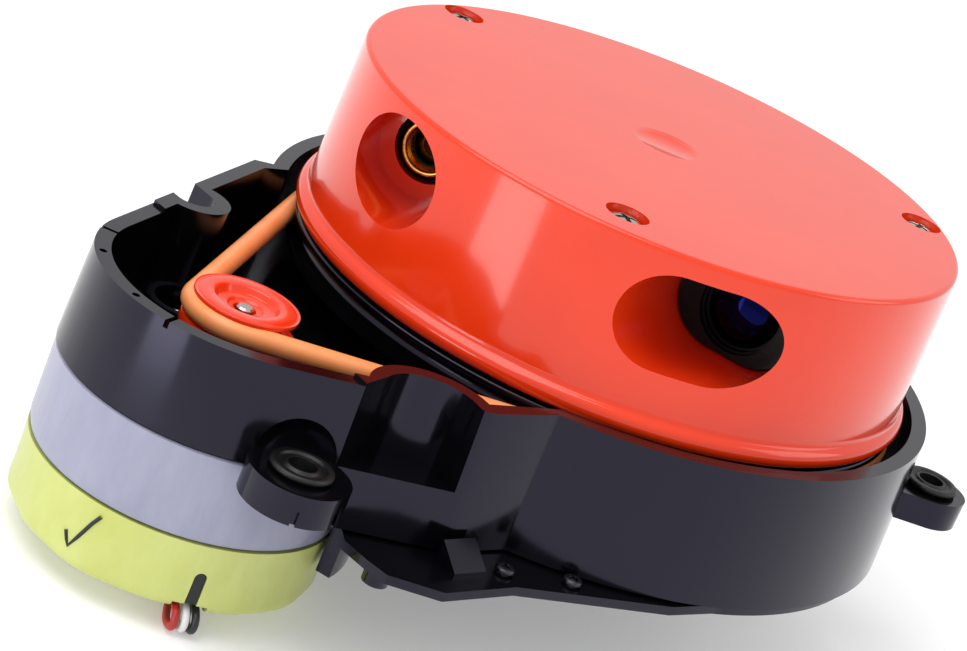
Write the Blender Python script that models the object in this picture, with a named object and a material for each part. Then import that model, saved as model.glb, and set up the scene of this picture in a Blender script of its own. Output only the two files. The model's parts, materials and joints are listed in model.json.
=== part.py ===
"""Spinning lidar scanner module: a belt-driven sensor turret on an open black tray.

Metres, +Z up. The origin is where the turret's spin axis meets the underside of the bottom cover.
The motor hangs under the tray's lobe, on the -X side.
"""

import math

import bmesh
import bpy
from mathutils import Matrix, Vector

# Driving dimensions
GAP = 0.0003
MOTOR_X = -0.0562
BASE_RADIUS = 0.0428
LOBE_RADIUS = 0.0178
WALL = 0.0019
DRAFT = 0.045
COVER_TOP = 0.0011
HOUSING_BOTTOM = COVER_TOP + GAP
DECK_BOTTOM = 0.0064
DECK_TOP = 0.0084
RIM_TOP = 0.0183
LOBE_RIM_TOP = 0.0179
TURRET_RADIUS = 0.0380
TURRET_FOOT_RADIUS = 0.0385
TURRET_TOP = 0.0389
TURRET_SHELL = 0.0018
BEAD_RADIUS = 0.0395
BEAD_LOW = 0.0173
BEAD_HIGH = 0.0200
BELT_RADIUS = 0.00125
BELT_HEIGHT = 0.0151
TURRET_GROOVE = 0.0379
PULLEY_GROOVE = 0.00585
EMITTER_HEIGHT = 0.0312
EMITTER_OPENING = math.radians(174)
EMITTER_AIM = math.radians(-150)
RECEIVER_HEIGHT = 0.03085
RECEIVER_OPENING = math.radians(-125.3)
RECEIVER_AIM = math.radians(-160)
EMITTER_DEPTH = 0.0135
RECEIVER_DEPTH = 0.0140
MOTOR_CAN_RADIUS = 0.0161
SLEEVE_RADIUS = 0.0182
SLEEVE_TOP = 0.0061
SLEEVE_BOTTOM = -0.0040
WRAP_BOTTOM = -0.0126
SCREW_PLACES = ((0.0349, 96.7), (0.0317, -143.0), (0.0348, -31.1))
COVER_SCREWS = ((0.0355, 0.0), (0.0092, 0.0343), (0.0092, -0.0343), (-0.0412, 0.0172), (-0.0412, -0.0172))
BOARD_SCREWS = ((0.0240, 0.0), (-0.0120, 0.0208), (-0.0120, -0.0208))
LOBE_EARS = ((-0.0614, -0.0214),)
ROUND_EARS = ((0.0, 0.0483), (0.0375, -0.0305), (0.0375, 0.0305))
EAR_BOTTOM = 0.0048
EAR_ARCH = 0.0056
MOTOR_SCREW_OFFSET = 0.0093

# Where the straight flanks of the tray leave the two arcs that they join
FLANK = math.acos((BASE_RADIUS - LOBE_RADIUS) / -MOTOR_X)
FLANK_NORMAL = math.pi - FLANK

for old in list(bpy.data.objects):
    bpy.data.objects.remove(old, do_unlink=True)


def material(name, colour, roughness, metallic=0.0):
    made = bpy.data.materials.new(name)
    made.use_nodes = True
    shader = made.node_tree.nodes["Principled BSDF"]
    shader.inputs["Base Color"].default_value = (*colour, 1.0)
    shader.inputs["Roughness"].default_value = roughness
    shader.inputs["Metallic"].default_value = metallic
    return made


ORANGE_ABS = material("orange_abs", (0.78, 0.06, 0.015), 0.25)
BLACK_ABS = material("black_abs", (0.012, 0.012, 0.014), 0.15)
BELT_RUBBER = material("orange_belt_rubber", (0.85, 0.17, 0.03), 0.45)
BLACK_RUBBER = material("black_rubber", (0.02, 0.02, 0.02), 0.6)
GREY_FOAM = material("grey_foam", (0.36, 0.36, 0.46), 0.7)
YELLOW_WRAP = material("yellow_wrap", (0.62, 0.66, 0.22), 0.5)
STEEL = material("steel", (0.6, 0.6, 0.6), 0.25, 1.0)
BRASS = material("brass", (0.75, 0.45, 0.2), 0.25, 1.0)
COPPER = material("copper_coil", (0.7, 0.3, 0.15), 0.35, 1.0)
FERRITE = material("ferrite", (0.05, 0.05, 0.055), 0.5)
BOARD_GREEN = material("circuit_board", (0.02, 0.16, 0.06), 0.4)
LENS_GLASS = material("lens_glass", (0.02, 0.02, 0.05), 0.03)
WHITE_NYLON = material("white_nylon", (0.75, 0.74, 0.7), 0.45)
RED_PVC = material("red_lead", (0.5, 0.02, 0.02), 0.45)
WHITE_PVC = material("white_lead", (0.75, 0.75, 0.75), 0.45)
BLACK_PVC = material("black_lead", (0.02, 0.02, 0.02), 0.45)


def axis_empty(name, place):
    empty = bpy.data.objects.new(name, None)
    empty.empty_display_type = "ARROWS"
    empty.empty_display_size = 0.01
    empty.location = place
    bpy.context.collection.objects.link(empty)
    return empty


TURRET_AXIS = axis_empty("turret_axis", (0, 0, 0))
MOTOR_AXIS = axis_empty("motor_axis", (MOTOR_X, 0, 0))
CAGE_AXIS = axis_empty("cage_axis", (0, 0, 0))


def add_object(name, mesh, finish, parent=None, cutter=False):
    obj = bpy.data.objects.new(name, mesh)
    bpy.context.collection.objects.link(obj)
    obj.parent = parent
    if cutter:
        obj.hide_render = True
        obj.display_type = "WIRE"
    else:
        mesh.materials.append(finish)
    return obj


def from_bmesh(name, bm, finish=None, parent=None, cutter=False, place=None):
    bmesh.ops.remove_doubles(bm, verts=bm.verts[:], dist=1e-7)
    if place is not None:
        bm.transform(place)
    bmesh.ops.recalc_face_normals(bm, faces=bm.faces[:])
    if bm.calc_volume(signed=True) < 0:
        bmesh.ops.reverse_faces(bm, faces=bm.faces[:])
    mesh = bpy.data.meshes.new(name)
    bm.to_mesh(mesh)
    bm.free()
    mesh.shade_smooth()
    mesh.set_sharp_from_angle(angle=math.radians(35))
    return add_object(name, mesh, finish, parent, cutter)


def turned(name, profile, finish=None, centre=(0, 0), segments=36, **kinds):
    """A closed (radius, height) profile turned about a vertical axis. Points on the axis close it."""
    bm = bmesh.new()
    points = [bm.verts.new((radius, 0, height)) for radius, height in profile]
    edges = [bm.edges.new((a, b)) for a, b in zip(points, points[1:])]
    if min(radius for radius, height in profile) > 0:
        edges.append(bm.edges.new((points[-1], points[0])))
    bmesh.ops.spin(
        bm,
        geom=edges + points,
        cent=(0, 0, 0),
        axis=(0, 0, 1),
        angle=2 * math.pi,
        steps=segments,
        use_merge=True,
    )
    bmesh.ops.translate(bm, verts=bm.verts[:], vec=(*centre, 0))
    return from_bmesh(name, bm, finish, **kinds)


def disc(name, radius, low, high, finish=None, centre=(0, 0), segments=18, **kinds):
    profile = ((0, low), (radius, low), (radius, high), (0, high))
    return turned(name, profile, finish, centre, segments, **kinds)


def ring(name, inner, outer, low, high, finish=None, centre=(0, 0), segments=24, **kinds):
    profile = ((inner, low), (outer, low), (outer, high), (inner, high))
    return turned(name, profile, finish, centre, segments, **kinds)


def prism(name, outline, low, high, finish=None, top_outline=None, **kinds):
    """An outline in plan raised from one height to another, drafted where the top outline differs."""
    bm = bmesh.new()
    lower = [bm.verts.new((x, y, low)) for x, y in outline]
    upper = [bm.verts.new((x, y, high)) for x, y in (top_outline or outline)]
    bm.faces.new(lower)
    bm.faces.new(upper)
    for i, corner in enumerate(lower):
        bm.faces.new((lower[i - 1], corner, upper[i], upper[i - 1]))
    return from_bmesh(name, bm, finish, **kinds)


def block(name, low, high, finish=None, **kinds):
    outline = ((low[0], low[1]), (high[0], low[1]), (high[0], high[1]), (low[0], high[1]))
    return prism(name, outline, low[2], high[2], finish, **kinds)


def cut(target, *tools, operation="DIFFERENCE"):
    group = bpy.data.collections.new(f"{target.name}_{operation.lower()}")
    for tool in tools:
        group.objects.link(tool)
    modifier = target.modifiers.new(group.name, "BOOLEAN")
    modifier.operation = operation
    modifier.solver = "EXACT"
    modifier.operand_type = "COLLECTION"
    modifier.collection = group


def join(target, *tools):
    cut(target, *tools, operation="UNION")


def arc(centre, radius, start, end, steps):
    """Points on an arc, from one angle in degrees to another."""
    angles = [math.radians(start + (end - start) * i / steps) for i in range(steps + 1)]
    return [(centre[0] + radius * math.cos(a), centre[1] + radius * math.sin(a)) for a in angles]


def polar(radius, degrees):
    return (radius * math.cos(math.radians(degrees)), radius * math.sin(math.radians(degrees)))


def flank_point(x, side, grow):
    """The point of the tray's straight flank at x; side is 1 at +Y and -1 at -Y."""
    reach = LOBE_RADIUS + grow - (x - MOTOR_X) * math.cos(FLANK_NORMAL)
    return (x, side * reach / math.sin(FLANK_NORMAL))


def tray_outline(grow):
    """The tray in plan: a round bowl, the step at the back, the motor lobe and the front corner."""
    normal = math.degrees(FLANK_NORMAL)
    return (
        arc((0, 0), BASE_RADIUS + grow, -140, 133.5, 32)
        + [flank_point(-0.0318, 1, grow)]
        + arc((MOTOR_X, 0), LOBE_RADIUS + grow, normal, 360 - normal, 14)
        + [flank_point(-0.0420, -1, grow)]
    )


# Base housing: the one-piece black tray, with its deck, ears, bearing post and screw bosses
base_housing = prism(
    "base_housing",
    tray_outline(DRAFT * (RIM_TOP - HOUSING_BOTTOM)),
    HOUSING_BOTTOM,
    RIM_TOP,
    BLACK_ABS,
    top_outline=tray_outline(0),
)
ear_tools = []
for index, place in enumerate(LOBE_EARS + ROUND_EARS):
    radius = 0.0058 if place in LOBE_EARS else 0.0050
    ear_tools.append(disc(f"ear_{index}", radius, EAR_BOTTOM, DECK_TOP, centre=place, cutter=True))
for index, place in enumerate(ROUND_EARS):
    inward = Vector(place).normalized()
    side = Vector((-inward.y, inward.x)) * 0.0050
    near = inward * 0.0420
    corners = (near - side, near + side, Vector(place) + side, Vector(place) - side)
    ear_tools.append(prism(f"ear_tongue_{index}", corners, EAR_BOTTOM, DECK_TOP, cutter=True))
join(base_housing, *ear_tools)

recess_centre = (-0.0488, -0.0239)
notch_centre = (-0.0489, 0.0214)
deck_cavity = prism("deck_cavity", tray_outline(-WALL), DECK_TOP, 0.0200, cutter=True)
recess_wall = disc("recess_wall", 0.0074, 0.0070, 0.0210, centre=recess_centre, cutter=True)
notch_wall = disc("notch_wall", 0.0044, 0.0070, 0.0210, centre=notch_centre, cutter=True)
cut(deck_cavity, recess_wall, notch_wall)
recess_outline = (
    [(-0.0556, -0.0202)] + arc(recess_centre, 0.0056, 115, -15, 9) + [(-0.0432, -0.0330), (-0.0600, -0.0330)]
)
recess = prism("recess", recess_outline, DECK_TOP, 0.0200, cutter=True)
notch_outline = (
    [(-0.0464, 0.0300)] + arc(notch_centre, 0.0025, 0, -180, 8) + [(-0.0519, 0.0300)]
)
notch = prism("notch", notch_outline, DECK_TOP, 0.0200, cutter=True)
ear_arches = []
for index, place in enumerate(LOBE_EARS):
    bm = bmesh.new()
    bmesh.ops.create_uvsphere(bm, u_segments=20, v_segments=11, radius=EAR_ARCH)
    bmesh.ops.translate(bm, verts=bm.verts[:], vec=(*place, DECK_TOP))
    bmesh.ops.bisect_plane(
        bm,
        geom=bm.verts[:] + bm.edges[:] + bm.faces[:],
        plane_co=(0, 0, DECK_TOP),
        plane_no=(0, 0, -1),
        clear_outer=True,
    )
    bmesh.ops.holes_fill(bm, edges=bm.edges[:])
    ear_arches.append(from_bmesh(f"ear_arch_{index}", bm, cutter=True))
lobe_rim_step = block("lobe_rim_step", (-0.0800, -0.0300, LOBE_RIM_TOP), (-0.0556, 0.0300, 0.0200), cutter=True)
board_cavity = prism("board_cavity", tray_outline(-WALL), 0.0, DECK_BOTTOM, cutter=True)
motor_wall = disc("motor_wall", 0.0218, -0.0010, 0.0080, centre=(MOTOR_X, 0), segments=28, cutter=True)
cut(board_cavity, motor_wall)
motor_space = disc("motor_space", 0.0200, -0.0010, DECK_BOTTOM, centre=(MOTOR_X, 0), segments=28, cutter=True)
cut(base_housing, deck_cavity, recess, notch, lobe_rim_step, board_cavity, motor_space, *ear_arches)

POST_BORE = 0.0055
POST_RADIUS = 0.0080
post_profile = (
    (POST_BORE, DECK_BOTTOM + 0.001),
    (0.0096, DECK_BOTTOM + 0.001),
    (0.0096, 0.0111),
    (POST_RADIUS, 0.0111),
    (POST_RADIUS, 0.0181),
    (POST_BORE, 0.0181),
)
bearing_post = turned("bearing_post", post_profile, segments=28, cutter=True)
post_bore = disc("post_bore", POST_BORE, 0.0050, 0.0200, cutter=True, segments=28)
join(base_housing, bearing_post)
boss_tools = []
hole_tools = [post_bore]
for index, place in enumerate(COVER_SCREWS):
    boss_tools.append(disc(f"cover_boss_{index}", 0.0026, HOUSING_BOTTOM, 0.0070, centre=place, cutter=True, segments=12))
    hole_tools.append(disc(f"cover_boss_bore_{index}", 0.0011, 0.0, 0.0066, centre=place, cutter=True, segments=10))
for index, place in enumerate(BOARD_SCREWS):
    boss_tools.append(disc(f"board_boss_{index}", 0.0022, 0.0049, 0.0070, centre=place, cutter=True, segments=12))
    hole_tools.append(disc(f"board_boss_bore_{index}", 0.0010, 0.0, 0.0074, centre=place, cutter=True, segments=10))
for side in (-1, 1):
    place = (MOTOR_X, side * MOTOR_SCREW_OFFSET)
    boss_tools.append(disc(f"screw_well_{side}", 0.0044, 0.0080, 0.0114, centre=place, cutter=True))
    hole_tools.append(disc(f"screw_well_bore_{side}", 0.0035, DECK_TOP, 0.0130, centre=place, cutter=True))
    hole_tools.append(disc(f"motor_screw_hole_{side}", 0.0012, 0.0050, 0.0100, centre=place, cutter=True, segments=10))
hole_tools.append(disc("motor_boss_hole", 0.0034, 0.0050, 0.0100, centre=(MOTOR_X, 0), cutter=True))
for index, place in enumerate(LOBE_EARS + ROUND_EARS):
    hole_tools.append(disc(f"ear_hole_{index}", 0.0030, 0.0030, 0.0100, centre=place, cutter=True, segments=14))
join(base_housing, *boss_tools)
cut(base_housing, *hole_tools)

# Bottom cover: the plate under the tray, with its front flange, locating peg and motor cradle
CRADLE_INNER = 0.0189
CRADLE_OUTER = 0.0207
cover_outline = (
    arc((0, 0), 0.0426, -104.5, 133, 26)
    + [flank_point(-0.0330, 1, -0.0008), flank_point(-0.0465, 1, -0.0008)]
    + arc((MOTOR_X, 0), CRADLE_INNER, 71.5, -71.5, 16)
    + [(-0.0538, -0.0240), (-0.0536, -0.0278), (-0.0531, -0.0307)]
    + [(-0.0479, -0.0347), (-0.0371, -0.0347), (-0.0175, -0.0408)]
)
bottom_cover = prism("bottom_cover", cover_outline, 0.0, COVER_TOP, BLACK_ABS)
cradle_outline = arc((MOTOR_X, 0), CRADLE_INNER, -68, 68, 14) + arc((MOTOR_X, 0), CRADLE_OUTER, 68, -68, 14)
cradle = prism("cradle", cradle_outline, -0.0072, COVER_TOP, cutter=True)
peg = disc("peg", 0.0015, -0.0016, 0.0005, centre=(-0.0515, -0.0280), cutter=True, segments=12)
join(bottom_cover, cradle, peg)

CONNECTOR_LOW = (0.0120, -0.0255, 0.0004)
CONNECTOR_HIGH = (0.0240, -0.0205, 0.0031)
connector_window = block(
    "connector_window",
    (CONNECTOR_LOW[0] - GAP, CONNECTOR_LOW[1] - GAP, -0.0010),
    (CONNECTOR_HIGH[0] + GAP, CONNECTOR_HIGH[1] + GAP, 0.0030),
    cutter=True,
)
LEAD_EXIT = (-0.0366, 0.0146)
lead_hole = disc("lead_hole", 0.0026, -0.0010, 0.0030, centre=LEAD_EXIT, cutter=True, segments=14)
RIVETS = ((-0.0366, -0.0319), (-0.0287, -0.0350))
cover_holes = [connector_window, lead_hole]
for index, place in enumerate(COVER_SCREWS):
    cover_holes.append(disc(f"cover_counterbore_{index}", 0.0022, -0.0010, 0.0008, centre=place, cutter=True, segments=12))
    cover_holes.append(disc(f"cover_hole_{index}", 0.0011, -0.0010, 0.0030, centre=place, cutter=True, segments=10))
for index, place in enumerate(RIVETS):
    cover_holes.append(disc(f"rivet_hole_{index}", 0.0009, -0.0010, 0.0030, centre=place, cutter=True, segments=10))
cut(bottom_cover, *cover_holes)


def gusset_mesh():
    """The sloping catch between the flange and the tray's front corner."""
    bm = bmesh.new()
    section = ((-0.0320, COVER_TOP - 0.0005), (-0.0288, COVER_TOP - 0.0005), (-0.0288, 0.0038), (-0.0320, 0.0015))
    ends = [[bm.verts.new((x, y, z)) for y, z in section] for x in (-0.0444, -0.0396)]
    bm.faces.new(ends[0])
    bm.faces.new(ends[1])
    for i in range(4):
        bm.faces.new((ends[0][i - 1], ends[0][i], ends[1][i], ends[1][i - 1]))
    return bm


join(bottom_cover, from_bmesh("gusset", gusset_mesh(), cutter=True))

# Fasteners


def screw(name, place, seat, head, shank, point, finish=STEEL, parent=None, up=True):
    """A pan head on its seat with the shank running away from it; each of head and shank is (radius, length)."""
    way = 1 if up else -1
    top = seat + way * head[1]
    profile = (
        (0, top),
        (head[0] * 0.75, top),
        (head[0], seat + way * head[1] * 0.6),
        (head[0], seat),
        (shank, seat),
        (shank, point + way * shank * 0.8),
        (0, point),
    )
    return turned(name, profile, finish, place, 10, parent=parent)


for index, place in enumerate(COVER_SCREWS):
    screw(f"cover_screw_{index + 1}", place, 0.00065, (0.0019, 0.00055), 0.0008, 0.0056, up=False)
for index, place in enumerate(BOARD_SCREWS):
    screw(f"board_screw_{index + 1}", place, 0.0031, (0.0018, 0.0009), 0.0007, 0.0070, up=False)
for index, side in enumerate((-1, 1)):
    screw(f"motor_screw_{index + 1}", (MOTOR_X, side * MOTOR_SCREW_OFFSET), DECK_TOP + GAP, (0.0019, 0.0012), 0.0009, 0.0045)
for index, place in enumerate(RIVETS):
    screw(f"flange_rivet_{index + 1}", place, COVER_TOP + GAP, (0.0011, 0.0006), 0.0006, 0.0001)

# Rubber isolators in the four ears
grommet_profile = (
    (0.0016, 0.0045),
    (0.0027, 0.0045),
    (0.0027, DECK_TOP + GAP),
    (0.0036, DECK_TOP + GAP),
    (0.0036, DECK_TOP + 0.0009),
    (0.0016, DECK_TOP + 0.0009),
)
for name, place in zip(("front_left", "back", "front_right", "back_right"), LOBE_EARS + ROUND_EARS):
    turned(f"ear_grommet_{name}", grommet_profile, BLACK_RUBBER, place, 12)

# Control board, its connector and the motor header
control_board = ring("control_board", 0.0062, 0.0300, 0.0034, 0.0046, BOARD_GREEN, segments=24)
cut(
    control_board,
    *[disc(f"board_hole_{i}", 0.0010, 0.0020, 0.0060, centre=p, cutter=True, segments=10) for i, p in enumerate(BOARD_SCREWS)],
)
board_connector = block("board_connector", CONNECTOR_LOW, CONNECTOR_HIGH, WHITE_NYLON)
connector_socket = block(
    "connector_socket",
    (CONNECTOR_LOW[0] + 0.0008, CONNECTOR_LOW[1] + 0.0008, -0.0010),
    (CONNECTOR_HIGH[0] - 0.0008, CONNECTOR_HIGH[1] - 0.0008, 0.0022),
    cutter=True,
)
cut(board_connector, connector_socket)
block("motor_header", (-0.0265, 0.0100, 0.0014), (-0.0218, 0.0150, 0.0031), WHITE_NYLON)

# Turret bearing: inner race on the post, cage with its balls, outer race in the turret base
BALL_RADIUS = 0.0015
BALL_CIRCLE = 0.0120
BEARING_LOW = 0.0114
BEARING_HIGH = 0.0164
ring("bearing_inner_race", 0.0083, 0.0104, BEARING_LOW, BEARING_HIGH, STEEL)
ring("bearing_outer_race", 0.0136, 0.0160, BEARING_LOW, BEARING_HIGH, STEEL, parent=TURRET_AXIS)
ring("bearing_clip", 0.0083, 0.0098, BEARING_HIGH + GAP, BEARING_HIGH + 0.0010, STEEL)
bearing_cage = ring("bearing_cage", 0.0113, 0.0127, 0.0130, 0.0148, BRASS, parent=CAGE_AXIS)
balls = []
for index in range(9):
    bm = bmesh.new()
    bmesh.ops.create_uvsphere(bm, u_segments=6, v_segments=4, radius=BALL_RADIUS)
    place = polar(BALL_CIRCLE, index * 40 + 3)
    bmesh.ops.translate(bm, verts=bm.verts[:], vec=(*place, (BEARING_LOW + BEARING_HIGH) / 2))
    balls.append(from_bmesh(f"ball_{index}", bm, cutter=True))
join(bearing_cage, *balls)

# Wireless power coils: the lower on the post, the upper under the turret board
ring("power_coil_lower", 0.0022, 0.0078, 0.0184, 0.0197, COPPER)
ring("power_coil_upper", 0.0022, 0.0078, 0.0202, 0.0213, COPPER, parent=TURRET_AXIS)

# Turret base: the black lower ring with the belt groove, floor and bearing seat
FLANGE_RADIUS = 0.0389
groove = [
    (TURRET_GROOVE + (BELT_RADIUS + GAP) * math.cos(a), BELT_HEIGHT + (BELT_RADIUS + GAP) * math.sin(a))
    for a in [math.radians(60 + 240 * i / 6) for i in range(7)]
]
turret_base_profile = (
    [(0.0146, 0.0194), (0.0365, 0.0194), (0.0365, BEAD_LOW - GAP), (FLANGE_RADIUS, BEAD_LOW - GAP)]
    + [(FLANGE_RADIUS, groove[0][1])]
    + groove
    + [(FLANGE_RADIUS, groove[-1][1]), (FLANGE_RADIUS, 0.0129), (0.0348, 0.0129), (0.0348, 0.0178)]
    + [(0.0182, 0.0178), (0.0182, 0.0110), (0.0163, 0.0110), (0.0163, 0.0168), (0.0146, 0.0168)]
)
turret_base = turned("turret_base", turret_base_profile, BLACK_ABS, segments=36, parent=TURRET_AXIS)
base_bores = []
for index, place in enumerate(SCREW_PLACES):
    base_bores.append(disc(f"turret_base_bore_{index}", 0.0013, 0.0170, 0.0210, centre=polar(*place), cutter=True, segments=10))
cut(turret_base, *base_bores)

# Turret cover: the orange shell with its rolled bead, optics tunnels and screw posts
BEAD_MIDDLE = (BEAD_LOW + BEAD_HIGH) / 2
BEAD_HALF = (BEAD_HIGH - BEAD_LOW) / 2
bead = [
    (BEAD_RADIUS - BEAD_HALF * (1 - math.cos(a)), BEAD_MIDDLE + BEAD_HALF * math.sin(a))
    for a in [math.radians(65 - 155 * i / 6) for i in range(7)]
]
top_edge = [
    (TURRET_RADIUS - 0.0006 * (1 - math.sin(a)), TURRET_TOP - 0.0006 * (1 - math.cos(a)))
    for a in [math.radians(90 * i / 3) for i in range(4)]
]
cover_profile = (
    [(0, TURRET_TOP)]
    + top_edge
    + [(TURRET_FOOT_RADIUS, bead[0][1] + 0.0003)]
    + bead
    + [(0.0368, BEAD_LOW), (0.0368, 0.0212), (0.0362, 0.0218), (0.0362, TURRET_TOP - TURRET_SHELL)]
    + [(0, TURRET_TOP - TURRET_SHELL)]
)
turret_cover = turned("turret_cover", cover_profile, ORANGE_ABS, segments=44, parent=TURRET_AXIS)


def aimed(aim, opening, height):
    """Turns a shape made along +Z, from the tunnel's mouth inwards, to lie along a tunnel."""
    mouth = Vector((TURRET_FOOT_RADIUS * math.cos(opening), TURRET_FOOT_RADIUS * math.sin(opening), height))
    inward = Vector((-math.cos(aim), -math.sin(aim), 0))
    sideways = Vector((0, 0, 1)).cross(inward)
    turn = Matrix((sideways, Vector((0, 0, 1)), inward)).transposed()
    if turn.determinant() < 0:
        turn = Matrix((-sideways, Vector((0, 0, 1)), inward)).transposed()
    return Matrix.Translation(mouth) @ turn.to_4x4()


EMITTER_PLACE = aimed(EMITTER_AIM, EMITTER_OPENING, EMITTER_HEIGHT)
RECEIVER_PLACE = aimed(RECEIVER_AIM, RECEIVER_OPENING, RECEIVER_HEIGHT)


def stadium(half_width, half_height, steps=7):
    straight = half_width - half_height
    return arc((straight, 0), half_height, -90, 90, steps) + arc((-straight, 0), half_height, 90, 270, steps)


EMITTER_RADIUS = 0.0062
RECEIVER_HALF = (0.0080, 0.0057)
TUNNEL_SKIN = 0.0012
TUNNEL_START = -0.0150
emitter_tube = disc("emitter_tube", EMITTER_RADIUS + TUNNEL_SKIN, TUNNEL_START, EMITTER_DEPTH + TUNNEL_SKIN,
                    segments=22, cutter=True, place=EMITTER_PLACE)
emitter_bore = disc("emitter_bore", EMITTER_RADIUS, TUNNEL_START, EMITTER_DEPTH,
                    segments=22, cutter=True, place=EMITTER_PLACE)
emitter_window = disc("emitter_window", 0.0043, TUNNEL_START, EMITTER_DEPTH + 0.0030,
                      segments=18, cutter=True, place=EMITTER_PLACE)
skin_outline = stadium(RECEIVER_HALF[0] + TUNNEL_SKIN, RECEIVER_HALF[1] + TUNNEL_SKIN)
receiver_tube = prism("receiver_tube", skin_outline, TUNNEL_START, RECEIVER_DEPTH + 0.0020,
                      cutter=True, place=RECEIVER_PLACE)
receiver_bore = prism("receiver_bore", stadium(*RECEIVER_HALF), TUNNEL_START, RECEIVER_DEPTH + 0.0040,
                      cutter=True, place=RECEIVER_PLACE)
inside_shell = disc("inside_shell", 0.0372, 0.0190, TURRET_TOP - 0.0009, segments=44, cutter=True)
for tube in (emitter_tube, receiver_tube):
    cut(tube, inside_shell, operation="INTERSECT")
POCKET_FLOOR = TURRET_TOP - 0.0020
posts, post_holes = [], []
for index, place in enumerate(SCREW_PLACES):
    spot = polar(*place)
    post = disc(f"cover_post_{index}", 0.0034, 0.0197, TURRET_TOP - 0.0009, centre=spot, cutter=True, segments=12)
    cut(post, inside_shell, operation="INTERSECT")
    posts.append(post)
    post_holes.append(disc(f"screw_pocket_{index}", 0.0026, POCKET_FLOOR, 0.0450, centre=spot, cutter=True, segments=16))
    post_holes.append(disc(f"screw_clearance_{index}", 0.0013, 0.0150, 0.0450, centre=spot, cutter=True, segments=10))
join(turret_cover, emitter_tube, receiver_tube, *posts)
cut(turret_cover, emitter_bore, emitter_window, receiver_bore, *post_holes)
for index, place in enumerate(SCREW_PLACES):
    screw(f"turret_screw_{index + 1}", polar(*place), POCKET_FLOOR + GAP, (0.0022, 0.0012), 0.0010, 0.0183,
          parent=TURRET_AXIS)

# Turret electronics and optics
turret_board = disc("turret_board", 0.0300, 0.0216, 0.0228, BOARD_GREEN, segments=36, parent=TURRET_AXIS)
cut(turret_board, disc("board_notch", 0.0042, 0.0200, 0.0240, centre=polar(*SCREW_PLACES[1]), cutter=True, segments=14))

barrel_profile = (
    (0, EMITTER_DEPTH + 0.0040),
    (0.0024, EMITTER_DEPTH + 0.0040),
    (0.0024, EMITTER_DEPTH + 0.0016),
    (0.0037, EMITTER_DEPTH + 0.0016),
    (0.0037, EMITTER_DEPTH),
    (0.0040, EMITTER_DEPTH),
    (0.0040, EMITTER_DEPTH + 0.0110),
    (0, EMITTER_DEPTH + 0.0110),
)
laser_barrel = turned("laser_barrel", barrel_profile, BLACK_ABS, segments=20, parent=TURRET_AXIS, place=EMITTER_PLACE)
barrel_foot = block("barrel_foot", (-0.0030, -0.0083, EMITTER_DEPTH + 0.0043), (0.0030, -0.0020, EMITTER_DEPTH + 0.0100),
                    cutter=True, place=EMITTER_PLACE)
join(laser_barrel, barrel_foot)
ring("lens_retainer", 0.0026, 0.0034, EMITTER_DEPTH - 0.0003, EMITTER_DEPTH + 0.0013, BRASS, segments=20,
     parent=TURRET_AXIS, place=EMITTER_PLACE)


def dome(radius, edge, rise, back, steps=3):
    """A lens section from the middle of its bulged face round to the middle of its flat back."""
    bulge = [(radius * math.sin(math.radians(90 * i / steps)), edge - rise * math.cos(math.radians(90 * i / steps)))
             for i in range(steps + 1)]
    return bulge + [(radius, back), (0, back)]


turned("laser_lens", dome(0.0021, EMITTER_DEPTH + 0.0020, 0.0006, EMITTER_DEPTH + 0.0037), LENS_GLASS, segments=18,
       parent=TURRET_AXIS, place=EMITTER_PLACE)
disc("laser_diode", 0.0028, EMITTER_DEPTH + 0.0113, EMITTER_DEPTH + 0.0143, BRASS, segments=16,
     parent=TURRET_AXIS, place=EMITTER_PLACE)

HOLDER_HALF = (RECEIVER_HALF[0] - GAP, RECEIVER_HALF[1] - GAP)
receiver_holder = prism("receiver_holder", stadium(*HOLDER_HALF), RECEIVER_DEPTH, RECEIVER_DEPTH + 0.0150, BLACK_ABS,
                        parent=TURRET_AXIS, place=RECEIVER_PLACE)
holder_foot = block("holder_foot", (-0.0060, -0.0077, RECEIVER_DEPTH + 0.0030), (0.0060, -0.0020, RECEIVER_DEPTH + 0.0150),
                    cutter=True, place=RECEIVER_PLACE)
join(receiver_holder, holder_foot)
lens_seat = disc("lens_seat", 0.0045, RECEIVER_DEPTH - 0.0010, RECEIVER_DEPTH + 0.0036, cutter=True, segments=20,
                 place=RECEIVER_PLACE)
light_path = disc("light_path", 0.0034, RECEIVER_DEPTH - 0.0010, RECEIVER_DEPTH + 0.0200, cutter=True, segments=16,
                  place=RECEIVER_PLACE)
cut(receiver_holder, lens_seat, light_path)
turned("receiver_lens", dome(0.0042, RECEIVER_DEPTH + 0.0018, 0.0013, RECEIVER_DEPTH + 0.0033), LENS_GLASS, segments=20,
       parent=TURRET_AXIS, place=RECEIVER_PLACE)
block("sensor_board", (-0.0070, -0.0074, RECEIVER_DEPTH + 0.0165), (0.0070, 0.0050, RECEIVER_DEPTH + 0.0177), BOARD_GREEN,
      parent=TURRET_AXIS, place=RECEIVER_PLACE)
block("image_sensor", (-0.0045, -0.0022, RECEIVER_DEPTH + 0.0153), (0.0045, 0.0022, RECEIVER_DEPTH + 0.0162), FERRITE,
      parent=TURRET_AXIS, place=RECEIVER_PLACE)

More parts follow.
